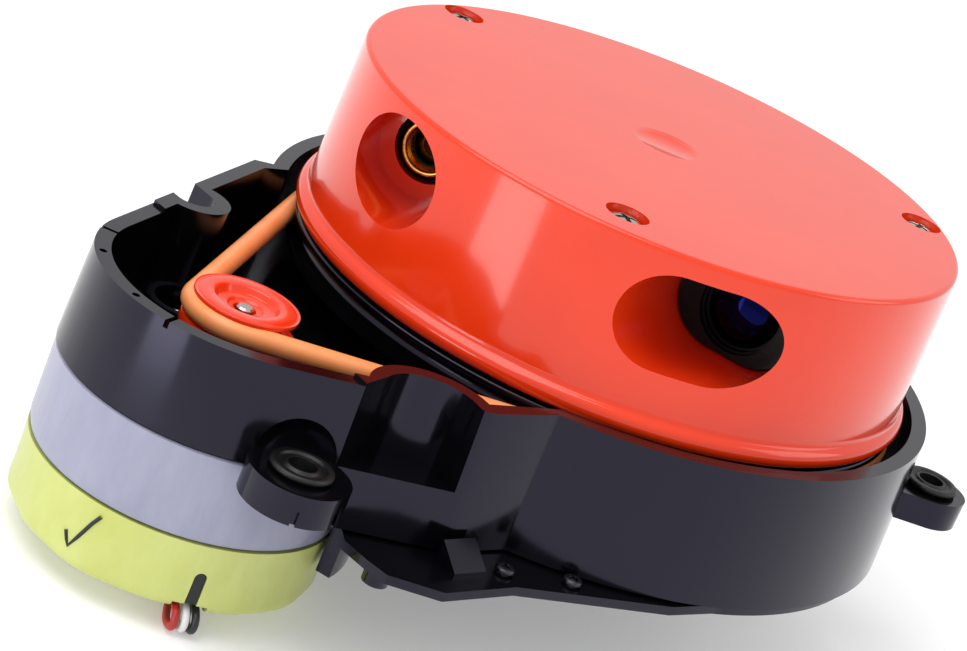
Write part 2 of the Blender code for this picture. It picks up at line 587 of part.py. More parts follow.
# Motor: can, magnet, end cap and bushing stay still; armature, shaft and pulley turn
CAN_TOP = 0.0061
CAN_BOTTOM = -0.0110
can_profile = (
    (0.0014, CAN_TOP),
    (MOTOR_CAN_RADIUS - 0.0008, CAN_TOP),
    (MOTOR_CAN_RADIUS, CAN_TOP - 0.0008),
    (MOTOR_CAN_RADIUS, CAN_BOTTOM),
    (MOTOR_CAN_RADIUS - 0.0007, CAN_BOTTOM),
    (MOTOR_CAN_RADIUS - 0.0007, CAN_TOP - 0.0010),
    (0.0014, CAN_TOP - 0.0010),
)
motor_can = turned("motor_can", can_profile, STEEL, (MOTOR_X, 0), 28)
cut(motor_can, *[disc(f"can_screw_hole_{side}", 0.0012, 0.0040, 0.0070, centre=(MOTOR_X, side * MOTOR_SCREW_OFFSET),
                      cutter=True, segments=10) for side in (-1, 1)])
ring("motor_magnet", 0.0128, 0.0150, -0.0088, 0.0030, FERRITE, (MOTOR_X, 0), 28)
ring("motor_end_cap", 0.0014, 0.0150, -0.0110, -0.0098, WHITE_NYLON, (MOTOR_X, 0), 28)
ring("motor_bushing", 0.0014, 0.0030, CAN_TOP + GAP, 0.0096, BRASS, (MOTOR_X, 0), 20)
ring("motor_armature", 0.0013, 0.0120, -0.0080, 0.0020, COPPER, segments=20, parent=MOTOR_AXIS)
disc("motor_shaft", 0.0010, -0.0113, 0.0160, STEEL, segments=20, parent=MOTOR_AXIS)

PULLEY_TOP = 0.0168
PULLEY_LOW = 0.0124
pulley_groove = [
    (PULLEY_GROOVE + (BELT_RADIUS + GAP) * math.cos(a), BELT_HEIGHT + (BELT_RADIUS + GAP) * math.sin(a))
    for a in [math.radians(86 + 164 * i / 5) for i in range(6)]
]
pulley_profile = (
    [(0.0013, PULLEY_TOP - 0.0011), (0.0019, PULLEY_TOP - 0.0011), (0.0019, PULLEY_TOP), (0.0053, PULLEY_TOP)]
    + [(0.0061, PULLEY_TOP - 0.0007), (0.0061, pulley_groove[0][1] + 0.0001)]
    + pulley_groove
    + [(0.0066, pulley_groove[-1][1]), (0.0066, PULLEY_LOW), (0.0013, PULLEY_LOW)]
)
turned("drive_pulley", pulley_profile, ORANGE_ABS, segments=20, parent=MOTOR_AXIS)

# Motor jacket: grey foam sleeve above, yellow wrap closed over the bottom
ring("motor_sleeve", MOTOR_CAN_RADIUS + GAP, SLEEVE_RADIUS, SLEEVE_BOTTOM, SLEEVE_TOP, GREY_FOAM, (MOTOR_X, 0), 28)
WRAP_RADIUS = 0.0181
WRAP_TOP = SLEEVE_BOTTOM - GAP
wrap_corner = [
    (WRAP_RADIUS - 0.0012 * (1 - math.sin(a)), WRAP_BOTTOM + 0.0012 * (1 - math.cos(a)))
    for a in [math.radians(90 * i / 3) for i in range(4)]
]
wrap_profile = (
    [(0, WRAP_BOTTOM)]
    + wrap_corner
    + [(WRAP_RADIUS, WRAP_TOP), (MOTOR_CAN_RADIUS + GAP, WRAP_TOP), (MOTOR_CAN_RADIUS + GAP, CAN_BOTTOM - GAP)]
    + [(0, CAN_BOTTOM - GAP)]
)
motor_wrap = turned("motor_wrap", wrap_profile, YELLOW_WRAP, (MOTOR_X, 0), 28)
SLOT_ANGLE = -116.0
slot_spot = polar(0.0181, SLOT_ANGLE)
slot_turn = Matrix.Translation((MOTOR_X + slot_spot[0], slot_spot[1], 0)) @ Matrix.Rotation(math.radians(SLOT_ANGLE), 4, "Z")
wrap_slot = block("wrap_slot", (-0.0014, -0.0008, -0.0124), (0.0020, 0.0008, -0.0074), cutter=True, place=slot_turn)
lead_gap = block("lead_gap", (-0.0052, -0.0020, -0.0140), (0.0020, 0.0020, CAN_BOTTOM - 2 * GAP), cutter=True, place=slot_turn)
cut(motor_wrap, wrap_slot, lead_gap)

# Drive belt: one round orange loop
belt_lean = math.degrees(math.acos((TURRET_GROOVE - PULLEY_GROOVE) / -MOTOR_X))
belt_path = (
    arc((0, 0), TURRET_GROOVE, 180 - belt_lean, belt_lean - 180, 34)
    + arc((MOTOR_X, 0), PULLEY_GROOVE, 180 + belt_lean, 180 - belt_lean, 8)
)


def round_curve(name, points, radius, finish, closed, sides):
    curve = bpy.data.curves.new(name, "CURVE")
    curve.dimensions = "3D"
    curve.bevel_depth = radius
    curve.bevel_resolution = sides
    curve.use_fill_caps = not closed
    spline = curve.splines.new("POLY")
    spline.points.add(len(points) - 1)
    for point, place in zip(spline.points, points):
        point.co = (*place, 1.0)
    spline.use_cyclic_u = closed
    curve.materials.append(finish)
    obj = bpy.data.objects.new(name, curve)
    bpy.context.collection.objects.link(obj)
    return obj


round_curve("drive_belt", [(x, y, BELT_HEIGHT) for x, y in belt_path], BELT_RADIUS, BELT_RUBBER, True, 2)

# Motor leads: out under the wrap's slot, below the motor and up through the cover to the header
LEAD_RADIUS = 0.00045
LEAD_PITCH = 0.00115
LEAVING = ((0.0136, -0.0122), (0.0158, -0.0124), (0.0176, -0.0128), (0.0184, -0.0137), (0.0178, -0.0147), (0.0155, -0.0150))
UNDER_MOTOR = (
    (-0.0600, -0.0103, -0.0146),
    (-0.0560, -0.0055, -0.0142),
    (-0.0500, 0.0016, -0.0139),
    (-0.0440, 0.0087, -0.0137),
    (-0.0402, 0.0128, -0.0133),
    (-0.0378, 0.0145, -0.0112),
    (-0.0369, 0.0147, -0.0075),
    (-0.0366, 0.0146, -0.0030),
    (-0.0364, 0.0145, 0.0006),
    (-0.0350, 0.0142, 0.0021),
    (-0.0320, 0.0134, 0.0023),
    (-0.0290, 0.0127, 0.0023),
    (-0.0268, 0.0125, 0.0023),
)


def lead_route(lane):
    """One lead's way; lane is -1, 0 or 1, across the flat run of three."""
    route = []
    for out, height in LEAVING:
        x, y = polar(out, SLOT_ANGLE)
        across = polar(LEAD_PITCH * lane, SLOT_ANGLE + 90)
        route.append((MOTOR_X + x + across[0], y + across[1], height))
    for i, (x, y, z) in enumerate(UNDER_MOTOR):
        across = polar(LEAD_PITCH * lane, -38 if i < 8 else -38 - 16 * min(4, i - 7))
        route.append((x + across[0], y + across[1], z))
    return route


def smooth_route(points, per_span):
    """A curve through every point, each span blended from its neighbours."""
    ends = [points[0], *points, points[-1]]
    route = []
    for before, start, end, after in zip(ends, ends[1:], ends[2:], ends[3:]):
        for i in range(per_span):
            t = i / per_span
            route.append(
                tuple(
                    0.5 * (2 * b + (c - a) * t + (2 * a - 5 * b + 4 * c - d) * t**2 + (3 * b - a - 3 * c + d) * t**3)
                    for a, b, c, d in zip(before, start, end, after)
                )
            )
    return route + [points[-1]]


for name, lane, finish in (
    ("motor_lead_red", -1, RED_PVC),
    ("motor_lead_white", 0, WHITE_PVC),
    ("motor_lead_black", 1, BLACK_PVC),
):
    round_curve(name, smooth_route(lead_route(lane), 2), LEAD_RADIUS, finish, False, 1)
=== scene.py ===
import json
import math

import bpy
from mathutils import Matrix, Vector

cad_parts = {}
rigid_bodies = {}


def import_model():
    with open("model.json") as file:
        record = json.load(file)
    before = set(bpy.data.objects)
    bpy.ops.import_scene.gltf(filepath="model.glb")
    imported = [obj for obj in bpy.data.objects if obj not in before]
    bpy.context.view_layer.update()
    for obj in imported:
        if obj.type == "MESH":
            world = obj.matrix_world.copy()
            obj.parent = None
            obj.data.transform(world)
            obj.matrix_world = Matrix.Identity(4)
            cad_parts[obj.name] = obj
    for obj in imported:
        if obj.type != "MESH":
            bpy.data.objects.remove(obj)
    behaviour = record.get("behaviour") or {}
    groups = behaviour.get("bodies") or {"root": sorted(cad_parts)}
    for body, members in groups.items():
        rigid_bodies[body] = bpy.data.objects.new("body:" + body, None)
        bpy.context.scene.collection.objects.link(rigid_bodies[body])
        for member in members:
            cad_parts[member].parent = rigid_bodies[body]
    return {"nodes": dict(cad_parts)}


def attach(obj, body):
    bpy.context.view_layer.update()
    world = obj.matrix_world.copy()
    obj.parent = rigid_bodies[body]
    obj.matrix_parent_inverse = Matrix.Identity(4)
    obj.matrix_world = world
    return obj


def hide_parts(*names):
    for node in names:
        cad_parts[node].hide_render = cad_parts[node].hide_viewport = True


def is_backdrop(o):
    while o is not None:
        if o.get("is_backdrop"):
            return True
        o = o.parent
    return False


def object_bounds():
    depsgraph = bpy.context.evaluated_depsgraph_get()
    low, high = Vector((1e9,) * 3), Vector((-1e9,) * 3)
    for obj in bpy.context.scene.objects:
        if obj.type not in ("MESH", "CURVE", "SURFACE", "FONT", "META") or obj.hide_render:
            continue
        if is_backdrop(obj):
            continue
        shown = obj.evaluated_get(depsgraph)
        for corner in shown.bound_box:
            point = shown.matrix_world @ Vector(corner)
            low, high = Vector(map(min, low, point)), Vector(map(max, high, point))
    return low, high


for startup in list(bpy.data.objects):
    bpy.data.objects.remove(startup)
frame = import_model()
cad_low, cad_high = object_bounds()

# Camera: a long lens low over the front left of the module, rolled so that the module leans
# to the right, as when such a part is propped up for display.
camera = bpy.data.objects.new("camera", bpy.data.cameras.new("camera"))
bpy.context.scene.collection.objects.link(camera)
camera.data.sensor_width = 36.0
camera.data.lens = 111.69
camera.data.clip_start = 0.01
camera_right = Vector((0.7011, -0.6159, 0.3593))
camera_back = Vector((-0.7131, -0.6081, 0.3489)).normalized()
camera_up = camera_back.cross(camera_right).normalized()
camera_right = camera_up.cross(camera_back)
camera.matrix_world = Matrix.Translation((-0.270599, -0.215244, 0.137236)) @ Matrix(
    (camera_right, camera_up, camera_back)
).transposed().to_4x4()
bpy.context.scene.camera = camera

# Studio: a matt white table that glows a little under the module, to lift the shadows, and one
# large soft box above its left side, with a smaller one at the right. A low panel at the left
# gives the turret its soft bright streak. The plain view transform keeps the colours full.
ROOM_LIGHT = 0.78
TABLE_WHITE = (0.80, 0.80, 0.80, 1.0)
TABLE_GLOW = 0.25
TABLE_GAP = 0.0002
world = bpy.data.worlds.new("studio")
world.use_nodes = True
world.node_tree.nodes["Background"].inputs["Color"].default_value = (1.0, 1.0, 1.0, 1.0)
world.node_tree.nodes["Background"].inputs["Strength"].default_value = ROOM_LIGHT
bpy.context.scene.world = world
bpy.context.scene.view_settings.view_transform = "Standard"


def soft_box(name, place, aim, width, height, power):
    light = bpy.data.objects.new(name, bpy.data.lights.new(name, "AREA"))
    bpy.context.scene.collection.objects.link(light)
    light.data.shape = "RECTANGLE"
    light.data.size = width
    light.data.size_y = height
    light.data.energy = power
    light.visible_camera = False
    light.location = place
    light.rotation_euler = (Vector(aim) - Vector(place)).to_track_quat("-Z", "Y").to_euler()
    return light


soft_box("key_box", (-0.25, 0.05, 0.55), (0, 0, 0.02), 0.5, 0.5, 2.1)
soft_box("fill_box", (0.35, -0.35, 0.30), (0, 0, 0.02), 0.3, 0.3, 0.4)
soft_box("low_panel", (-0.16, -0.01, -0.010), (-0.02, 0.0, 0.035), 0.05, 0.12, 0.06)

bpy.ops.object.select_all(action="DESELECT")
bpy.ops.mesh.primitive_plane_add(size=6.0, location=(0, 0, cad_low.z - TABLE_GAP))
table = bpy.context.object
table.name = "table"
bpy.ops.object.transform_apply(location=True)
table_white = bpy.data.materials.new("matt_white_table")
table_white.use_nodes = True
table_shader = table_white.node_tree.nodes["Principled BSDF"]
table_shader.inputs["Base Color"].default_value = TABLE_WHITE
table_shader.inputs["Emission Color"].default_value = (1.0, 1.0, 1.0, 1.0)
table_shader.inputs["Emission Strength"].default_value = TABLE_GLOW
table_shader.inputs["Roughness"].default_value = 0.9
table_shader.inputs["Specular IOR Level"].default_value = 0.1
table.data.materials.append(table_white)
table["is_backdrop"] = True

# Turret cover: one injection moulding in glossy orange-red ABS, open below, with a rolled bead
# round its foot, two tunnels for the optics and three screw pockets. Three screws hold it.
TURRET_TOP = 0.0389
TURRET_RADIUS = 0.0380
TURRET_FOOT = 0.0385
BEAD_LOW = 0.0173
BEAD_HIGH = 0.0200
BEAD_RADIUS = 0.0395
EMITTER_DEPTH = 0.0135
RECEIVER_DEPTH = 0.0140
TURRET_SCREWS = ((0.0349, 96.7), (0.0317, -143.0), (0.0348, -31.1))
POCKET_FLOOR = TURRET_TOP - 0.0020
GAP = 0.0003


def colour(code):
    """A colour written as sRGB hex, as the linear values that shaders take."""
    levels = [int(code[i : i + 2], 16) / 255 for i in (1, 3, 5)]
    return (*[c / 12.92 if c <= 0.04045 else ((c + 0.055) / 1.055) ** 2.4 for c in levels], 1.0)


def add_node(tree, kind, values=None, links=None, **settings):
    """Adds a node, sets its properties and inputs, and links inputs from other nodes' outputs."""
    node = tree.nodes.new(kind)
    for name, value in settings.items():
        setattr(node, name, value)
    for name, value in (values or {}).items():
        node.inputs[name].default_value = value
    for name, output in (links or {}).items():
        tree.links.new(output, node.inputs[name])
    return node


def surface(
    name,
    pale,
    deep,
    rough,
    grain,
    depth,
    patch=0.006,
    metallic=0.0,
    ior=1.5,
    coat=0.0,
    stretch=(1, 1, 1),
    level=0.5,
    tint="#FFFFFF",
):
    """A finish whose colour drifts between two near tones in patches, over a fine grain.

    rough is the least and the most roughness; grain, depth and patch are sizes in metres. level and
    tint are the strength and the colour of the mirror-like part.
    """
    made = bpy.data.materials.new(name)
    made.use_nodes = True
    tree = made.node_tree
    shader = tree.nodes["Principled BSDF"]
    shader.inputs["Metallic"].default_value = metallic
    shader.inputs["IOR"].default_value = ior
    shader.inputs["Coat Weight"].default_value = coat
    shader.inputs["Coat Roughness"].default_value = 0.06
    shader.inputs["Specular IOR Level"].default_value = level
    shader.inputs["Specular Tint"].default_value = colour(tint)
    place = add_node(tree, "ShaderNodeTexCoord")
    turn = add_node(tree, "ShaderNodeMapping", {"Scale": stretch}, {"Vector": place.outputs["Object"]})
    drift = add_node(
        tree, "ShaderNodeTexNoise", {
            "Scale": 1 / patch, "Detail": 4.0, "Roughness": 0.55
        }, {"Vector": turn.outputs["Vector"]}
    )
    tones = add_node(tree, "ShaderNodeValToRGB", links={"Fac": drift.outputs["Fac"]})
    tones.color_ramp.elements[0].position = 0.3
    tones.color_ramp.elements[1].position = 0.7
    tones.color_ramp.elements[0].color = colour(deep)
    tones.color_ramp.elements[1].color = colour(pale)
    gloss = add_node(
        tree, "ShaderNodeMapRange", {
            "From Min": 0.3, "From Max": 0.7, "To Min": rough[0], "To Max": rough[1]
        },
        {"Value": drift.outputs["Fac"]},
    )
    texture = add_node(
        tree,
        "ShaderNodeTexNoise",
        {"Scale": 1 / grain, "Detail": 3.0},
        {"Vector": turn.outputs["Vector"]},
    )
    bump = add_node(
        tree, "ShaderNodeBump", {"Strength": 1.0, "Distance": depth}, {"Height": texture.outputs["Fac"]}
    )
    tree.links.new(tones.outputs["Color"], shader.inputs["Base Color"])
    tree.links.new(gloss.outputs["Result"], shader.inputs["Roughness"])
    tree.links.new(bump.outputs["Normal"], shader.inputs["Normal"])
    return made


def arc(centre, radius, start, end, steps):
    """Points on an arc from one angle in degrees to another."""
    angles = [math.radians(start + (end - start) * i / steps) for i in range(steps + 1)]
    return [(centre[0] + radius * math.cos(a), centre[1] + radius * math.sin(a)) for a in angles]


def polar(radius, degrees):
    return (radius * math.cos(math.radians(degrees)), radius * math.sin(math.radians(degrees)))


def draw_line(points):
    """In edit mode: one vertex, extruded from point to point."""
    bpy.ops.mesh.primitive_plane_add(size=0.001, location=points[0])
    bpy.ops.mesh.merge(type="CENTER")
    for here, there in zip(points, points[1:]):
        bpy.ops.mesh.extrude_region_move(TRANSFORM_OT_translate={"value": Vector(there) - Vector(here)})


def open_mesh(name):
    """A new empty mesh, open in edit mode."""
    bpy.ops.object.select_all(action="DESELECT")
    bpy.ops.mesh.primitive_plane_add(size=0.001)
    piece = bpy.context.object
    piece.name = name
    piece.data.name = name
    bpy.ops.object.mode_set(mode="EDIT")
    bpy.ops.mesh.delete(type="VERT")
    return piece


def close_mesh(piece, place=None):
    bpy.ops.mesh.select_all(action="SELECT")
    bpy.ops.mesh.remove_doubles(threshold=1e-6)
    bpy.ops.mesh.normals_make_consistent(inside=False)
    bpy.ops.object.mode_set(mode="OBJECT")
    if place is not None:
        piece.matrix_world = place
    bpy.ops.object.transform_apply(location=True, rotation=True, scale=True)
    return piece


def turned(name, profile, centre=(0, 0), steps=96, place=None):
    """A (radius, height) profile spun about an upright axis; a closed one returns to its start."""
    piece = open_mesh(name)
    draw_line([(centre[0] + radius, centre[1], height) for radius, height in profile])
    bpy.ops.mesh.select_all(action="SELECT")
    bpy.ops.mesh.spin(steps=steps, angle=2 * math.pi, center=(*centre, 0), axis=(0, 0, 1))
    return close_mesh(piece, place)


def prism(name, outline, low, high, top_outline=None, place=None):
    """An outline at one height bridged to an outline at another, both closed."""
    piece = open_mesh(name)
    for points, height in ((outline, low), (top_outline or outline, high)):
        draw_line([(x, y, height) for x, y in points + points[:1]])
    bpy.ops.mesh.select_all(action="SELECT")
    bpy.ops.mesh.remove_doubles(threshold=1e-6)
    bpy.ops.mesh.bridge_edge_loops()
    bpy.ops.mesh.select_all(action="SELECT")
    bpy.ops.mesh.fill_holes(sides=0)
    return close_mesh(piece, place)


def disc(name, radius, low, high, centre=(0, 0), steps=48, place=None):
    return turned(name, ((0, low), (radius, low), (radius, high), (0, high)), centre, steps, place)


def block(name, low, high, place=None):
    outline = [(low[0], low[1]), (high[0], low[1]), (high[0], high[1]), (low[0], high[1])]
    return prism(name, outline, low[2], high[2], place=place)


def shape_with(piece, *tools, operation="DIFFERENCE"):
    """Cuts the tools from the piece, or joins them to it, and removes them."""
    group = bpy.data.collections.new("tools")
    for tool in tools:
        group.objects.link(tool)
    change = piece.modifiers.new(operation, "BOOLEAN")
    change.operation = operation
    change.solver = "EXACT"
    change.operand_type = "COLLECTION"
    change.collection = group
    bpy.context.view_layer.objects.active = piece
    bpy.ops.object.modifier_apply(modifier=change.name)
    for tool in tools:
        bpy.data.objects.remove(tool)
    bpy.data.collections.remove(group)


def soften(piece, width, segments=2, angle=40):
    """Rounds the sharp edges over, as a mould or a tool leaves them, and shades the rest smooth."""
    bpy.ops.object.select_all(action="DESELECT")
    piece.select_set(True)
    bpy.context.view_layer.objects.active = piece
    if width:
        edge = piece.modifiers.new("edge", "BEVEL")
        edge.width = width
        edge.segments = segments
        edge.limit_method = "ANGLE"
        edge.angle_limit = math.radians(angle)
        edge.use_clamp_overlap = True
        bpy.ops.object.modifier_apply(modifier=edge.name)
    bpy.ops.object.shade_smooth_by_angle(angle=math.radians(angle))
    shading = piece.modifiers.new("shading", "WEIGHTED_NORMAL")
    shading.keep_sharp = True
    bpy.ops.object.modifier_apply(modifier=shading.name)


def stadium(half_width, half_height, steps=24):
    straight = half_width - half_height
    return arc((straight, 0), half_height, -90, 90, steps) + arc(
        (-straight, 0), half_height, 90, 270, steps
    )


def aimed(aim, opening, height):
    """Lays a shape made along +Z, from a tunnel's mouth inwards, along that tunnel."""
    mouth = Vector((*polar(TURRET_FOOT, opening), height))
    inward = Vector((*polar(-1, aim), 0))
    up = Vector((0, 0, 1))
    sideways = up.cross(inward)
    return Matrix.Translation(mouth) @ Matrix((sideways, up, inward)).transposed().to_4x4()


def assemble(piece, body, slot, finish, *nodes):
    piece.data.materials.clear()
    piece.data.materials.append(finish)
    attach(piece, body)
    if nodes:
        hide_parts(*nodes)


emitter_place = aimed(-150, 174, 0.0312)
receiver_place = aimed(-160, -125.3, 0.03085)
bead_half = (BEAD_HIGH - BEAD_LOW) / 2
bead_middle = (BEAD_HIGH + BEAD_LOW) / 2
top_edge = [
    (TURRET_RADIUS - 0.0006 + x, TURRET_TOP - 0.0006 + z) for x, z in arc((0, 0), 0.0006, 90, 0, 6)
]
bead = arc((BEAD_RADIUS - bead_half, bead_middle), bead_half, 65, -90, 18)
cover_profile = (
    [
        (0, TURRET_TOP - 0.00025),
        (0.0036, TURRET_TOP - 0.00025),
        (0.0042, TURRET_TOP),
        (0.0300, TURRET_TOP),
    ]
    + top_edge
    + [(TURRET_FOOT - 0.0001, bead[0][1] + 0.0008), (TURRET_FOOT + 0.0001, bead[0][1] + 0.0002)]
    + bead
    + [
        (0.0368, BEAD_LOW),
        (0.0368, 0.0212),
        (0.0362, 0.0218),
        (0.0362, TURRET_TOP - 0.0018),
        (0, TURRET_TOP - 0.0018),
    ]
)
turret_cover = turned("turret_shell", cover_profile, steps=240)
emitter_tube = disc(
    "emitter_tube", 0.0074, -0.015, EMITTER_DEPTH + 0.0012, steps=64, place=emitter_place
)
receiver_tube = prism(
    "receiver_tube", stadium(0.0092, 0.0069), -0.015, RECEIVER_DEPTH + 0.0020, place=receiver_place
)
for tube in (emitter_tube, receiver_tube):
    shape_with(
        tube, disc("inside", 0.0372, 0.0190, TURRET_TOP - 0.0009, steps=120), operation="INTERSECT"
    )
posts = []
holes = []
for radius, angle in TURRET_SCREWS:
    spot = polar(radius, angle)
    post = disc("post", 0.0034, 0.0197, TURRET_TOP - 0.0009, spot)
    shape_with(
        post, disc("inside", 0.0372, 0.0190, TURRET_TOP - 0.0009, steps=120), operation="INTERSECT"
    )
    posts.append(post)
    holes.append(disc("pocket", 0.0026, POCKET_FLOOR, 0.045, spot))
    holes.append(disc("clearance", 0.0013, 0.015, 0.045, spot, 32))
shape_with(turret_cover, emitter_tube, receiver_tube, *posts, operation="UNION")
shape_with(
    turret_cover,
    disc("emitter_bore", 0.0062, -0.015, EMITTER_DEPTH, steps=96, place=emitter_place),
    disc("emitter_window", 0.0043, -0.015, EMITTER_DEPTH + 0.003, steps=48, place=emitter_place),
    prism(
        "receiver_bore",
        stadium(0.0080, 0.0057, 40),
        -0.015,
        RECEIVER_DEPTH + 0.004,
        place=receiver_place,
    ),
    *holes,
)
soften(turret_cover, 0.0003, 3)
# Glossy moulded ABS: an even colour, a mirror-like skin with a faint ripple and handling haze.
orange_abs = surface(
    "orange_gloss_abs",
    "#EC3A10",
    "#E4340C",
    (0.11, 0.18),
    0.0040,
    0.00001,
    patch=0.020,
    coat=0.35,
    level=0.4,
)
assemble(turret_cover, "turret", "orange_abs", orange_abs, "turret_cover")

# Turret screws: three pan-head cross-recess screws of nickel-plated steel, sunk in their pockets.
# Every screw on the module is this shape at its own size, driven by hand into a plastic boss.
THREAD_PITCH = 0.0005
THREAD_ROOT = 0.84


def screw_model(head, shank, length):
    """A screw with its head's underside at the origin. head is (radius, height)."""
    angles = [math.radians(9 * i) for i in range(10)]
    dome = [(head[0] * math.sin(a), head[1] * (0.45 + 0.55 * math.cos(a))) for a in angles]
    profile = dome + [(head[0], 0), (shank, 0)]
    threads = max(3, int((length - shank) / THREAD_PITCH))
    for i in range(threads):
        depth = (length - shank) * (i + 0.5) / threads
        profile += [(shank, -depth), (shank * THREAD_ROOT, -depth - 0.0002)]
    profile += [(0, -length)]
    model = turned("screw_model", profile, steps=32)
    reach, half = head[0] * 0.62, 0.14 * head[0]
    low, high = head[1] * 0.35, head[1] * 2
    shape_with(
        model,
        block("slot", (-reach, -half, low), (reach, half, high)),
        block("slot", (-half, -reach, low), (half, reach, high)),
    )
    soften(model, 0.00004, 1, 35)
    return model


def copied(model, name, place):
    """A copy of the model, with its own mesh, put in its place."""
    piece = model.copy()
    piece.data = model.data.copy()
    piece.name = name
    piece.data.name = name
    bpy.context.scene.collection.objects.link(piece)
    bpy.ops.object.select_all(action="DESELECT")
    piece.select_set(True)
    bpy.context.view_layer.objects.active = piece
    piece.matrix_world = place
    bpy.ops.object.transform_apply(location=True, rotation=True, scale=True)
    return piece


def set_screws(label, node, places, seat, head, shank, point, body, finish, up=True):
    """One screw at each place, seated at one height, its shank ending at the height of its point."""
    model = screw_model(head, shank, abs(point - seat))
    turn = Matrix.Identity(4) if up else Matrix.Rotation(math.pi, 4, "X")
    for index, place in enumerate(places, 1):
        spin = Matrix.Rotation(0.6 + 40 * (place[0] + 2 * place[1]), 4, "Z")
        stand = Matrix.Translation((*place, seat)) @ turn @ spin
        piece = copied(model, f"{label}_{index}", stand)
        assemble(piece, body, "steel", finish, f"{node}_{index}")
    bpy.data.objects.remove(model)


# Nickel plate is bright and a little warm, with fine drawn lines from the heading die.
nickel = surface(
    "nickel_plated_steel",
    "#C9C6C0",
    "#B3B0AB",
    (0.16, 0.30),
    0.0003,
    0.000006,
    patch=0.001,
    metallic=1.0,
)
spots = [polar(radius, angle) for radius, angle in TURRET_SCREWS]
seat = POCKET_FLOOR + GAP
set_screws(
    "turret_fixing", "turret_screw", spots, seat, (0.0022, 0.0013), 0.0010, 0.0183, "turret", nickel
)

# Laser emitter: a black machined barrel at the end of the round tunnel, with a threaded brass
# ring that holds a small coated lens. It is screwed down through its foot behind the cover.
barrel_profile = [
    (0, 0.0040),
    (0.0024, 0.0040),
    (0.0024, 0.0016),
    (0.0034, 0.0016),
    (0.0037, 0.0013),
    (0.0037, 0.0003),
]
barrel_profile += [(0.0038, 0), (0.0040, 0.0002), (0.0040, 0.0110), (0, 0.0110)]
barrel = turned(
    "emitter_barrel", [(r, EMITTER_DEPTH + z) for r, z in barrel_profile], steps=64, place=emitter_place
)
foot = block(
    "foot",
    (-0.0030, -0.0083, EMITTER_DEPTH + 0.0043),
    (0.0030, -0.0020, EMITTER_DEPTH + 0.0100),
    emitter_place,
)
shape_with(barrel, foot, operation="UNION")
soften(barrel, 0.0001)
# Black anodised aluminium: a deep satin black with a fine turned grain.
black_anodise = surface(
    "black_anodised_aluminium", "#17171A", "#0D0D10", (0.25, 0.38), 0.0002, 0.000008, patch=0.002
)
assemble(barrel, "turret", "black_abs", black_anodise, "laser_barrel")

ring_profile = [
    (0.0024, 0.0013), (0.0034, 0.0013), (0.0034, 0.0001), (0.0033, -0.0003), (0.0029, -0.0003)
]
for i in range(4):
    ring_profile += [
        (0.00285 - 0.0001 * i, 0.0002 * i - 0.0001), (0.00272 - 0.0001 * i, 0.0002 * i + 0.0001)
    ]
retainer = turned(
    "emitter_ring",
    [(r, EMITTER_DEPTH + z) for r, z in ring_profile + ring_profile[:1]],
    steps=64,
    place=emitter_place,
)
soften(retainer, 0.00005, 1)
# Turned brass: warm metal with concentric tool marks, so its gloss is uneven.
brass = surface(
    "turned_brass", "#D9A860", "#B98540", (0.18, 0.34), 0.0003, 0.00001, patch=0.001, metallic=1.0
)
assemble(retainer, "turret", "brass", brass, "lens_retainer")

lens_face = [
    (
        0.0021 * math.sin(a), 0.0020 - 0.0009 * math.cos(a)
    ) for a in [math.radians(9 * i) for i in range(11)]
]
lens = turned(
    "emitter_lens",
    [(r, EMITTER_DEPTH + z) for r, z in lens_face + [(0.0021, 0.0037), (0, 0.0037)]],
    steps=48,
    place=emitter_place,
)
soften(lens, 0)
# Coated glass over a dark barrel: near black, mirror smooth, with an olive-gold reflection.
gold_coat = surface(
    "olive_coated_glass", "#0E0C04", "#080702", (0.02, 0.04), 0.002, 0.000001, ior=1.8, tint="#E0C070"
)
assemble(lens, "turret", "lens", gold_coat, "laser_lens")

# Receiver: a black moulded lens holder that plugs the wide tunnel, with stepped rings to stop
# stray light round a bulged camera lens. It is glued in and carries the sensor board behind it.
holder = prism(
    "receiver_body",
    stadium(0.0077, 0.0054),
    RECEIVER_DEPTH,
    RECEIVER_DEPTH + 0.0150,
    place=receiver_place,
)
holder_foot = block(
    "foot",
    (-0.0060, -0.0077, RECEIVER_DEPTH + 0.0030),
    (0.0060, -0.0020, RECEIVER_DEPTH + 0.0150),
    receiver_place,
)
shape_with(holder, holder_foot, operation="UNION")
steps_profile = [
    (0, -0.001),
    (0.00495, -0.001),
    (0.00495, 0.0008),
    (0.0047, 0.0008),
    (0.0047, 0.0016),
    (0.0044, 0.0016),
]
steps_profile += [(0.0044, 0.0036), (0.0034, 0.0036), (0.0034, 0.0200), (0, 0.0200)]
shape_with(
    holder,
    turned(
        "steps", [(r, RECEIVER_DEPTH + z) for r, z in steps_profile], steps=64, place=receiver_place
    ),
)
soften(holder, 0.00012)
# Black ABS with a fine spark-eroded texture, to keep it from shining into the lens.
satin_black = surface(
    "satin_black_abs", "#050507", "#030304", (0.35, 0.50), 0.0003, 0.00002, patch=0.003, level=0.2
)
assemble(holder, "turret", "black_abs", satin_black, "receiver_holder")

lens_face = [
    (
        0.0042 * math.sin(a), 0.0018 - 0.0019 * math.cos(a)
    ) for a in [math.radians(6 * i) for i in range(16)]
]
lens = turned(
    "receiver_glass",
    [(r, RECEIVER_DEPTH + z) for r, z in lens_face + [(0.0042, 0.0033), (0, 0.0033)]],
    steps=96,
    place=receiver_place,
)
soften(lens, 0)
# Blue-violet anti-reflection coating on dark glass: black face on, blue where it catches light.
blue_coat = surface(
    "blue_coated_glass", "#020208", "#010104", (0.02, 0.04), 0.002, 0.000001, tint="#4A55FF"
)
assemble(lens, "turret", "lens", blue_coat, "receiver_lens")

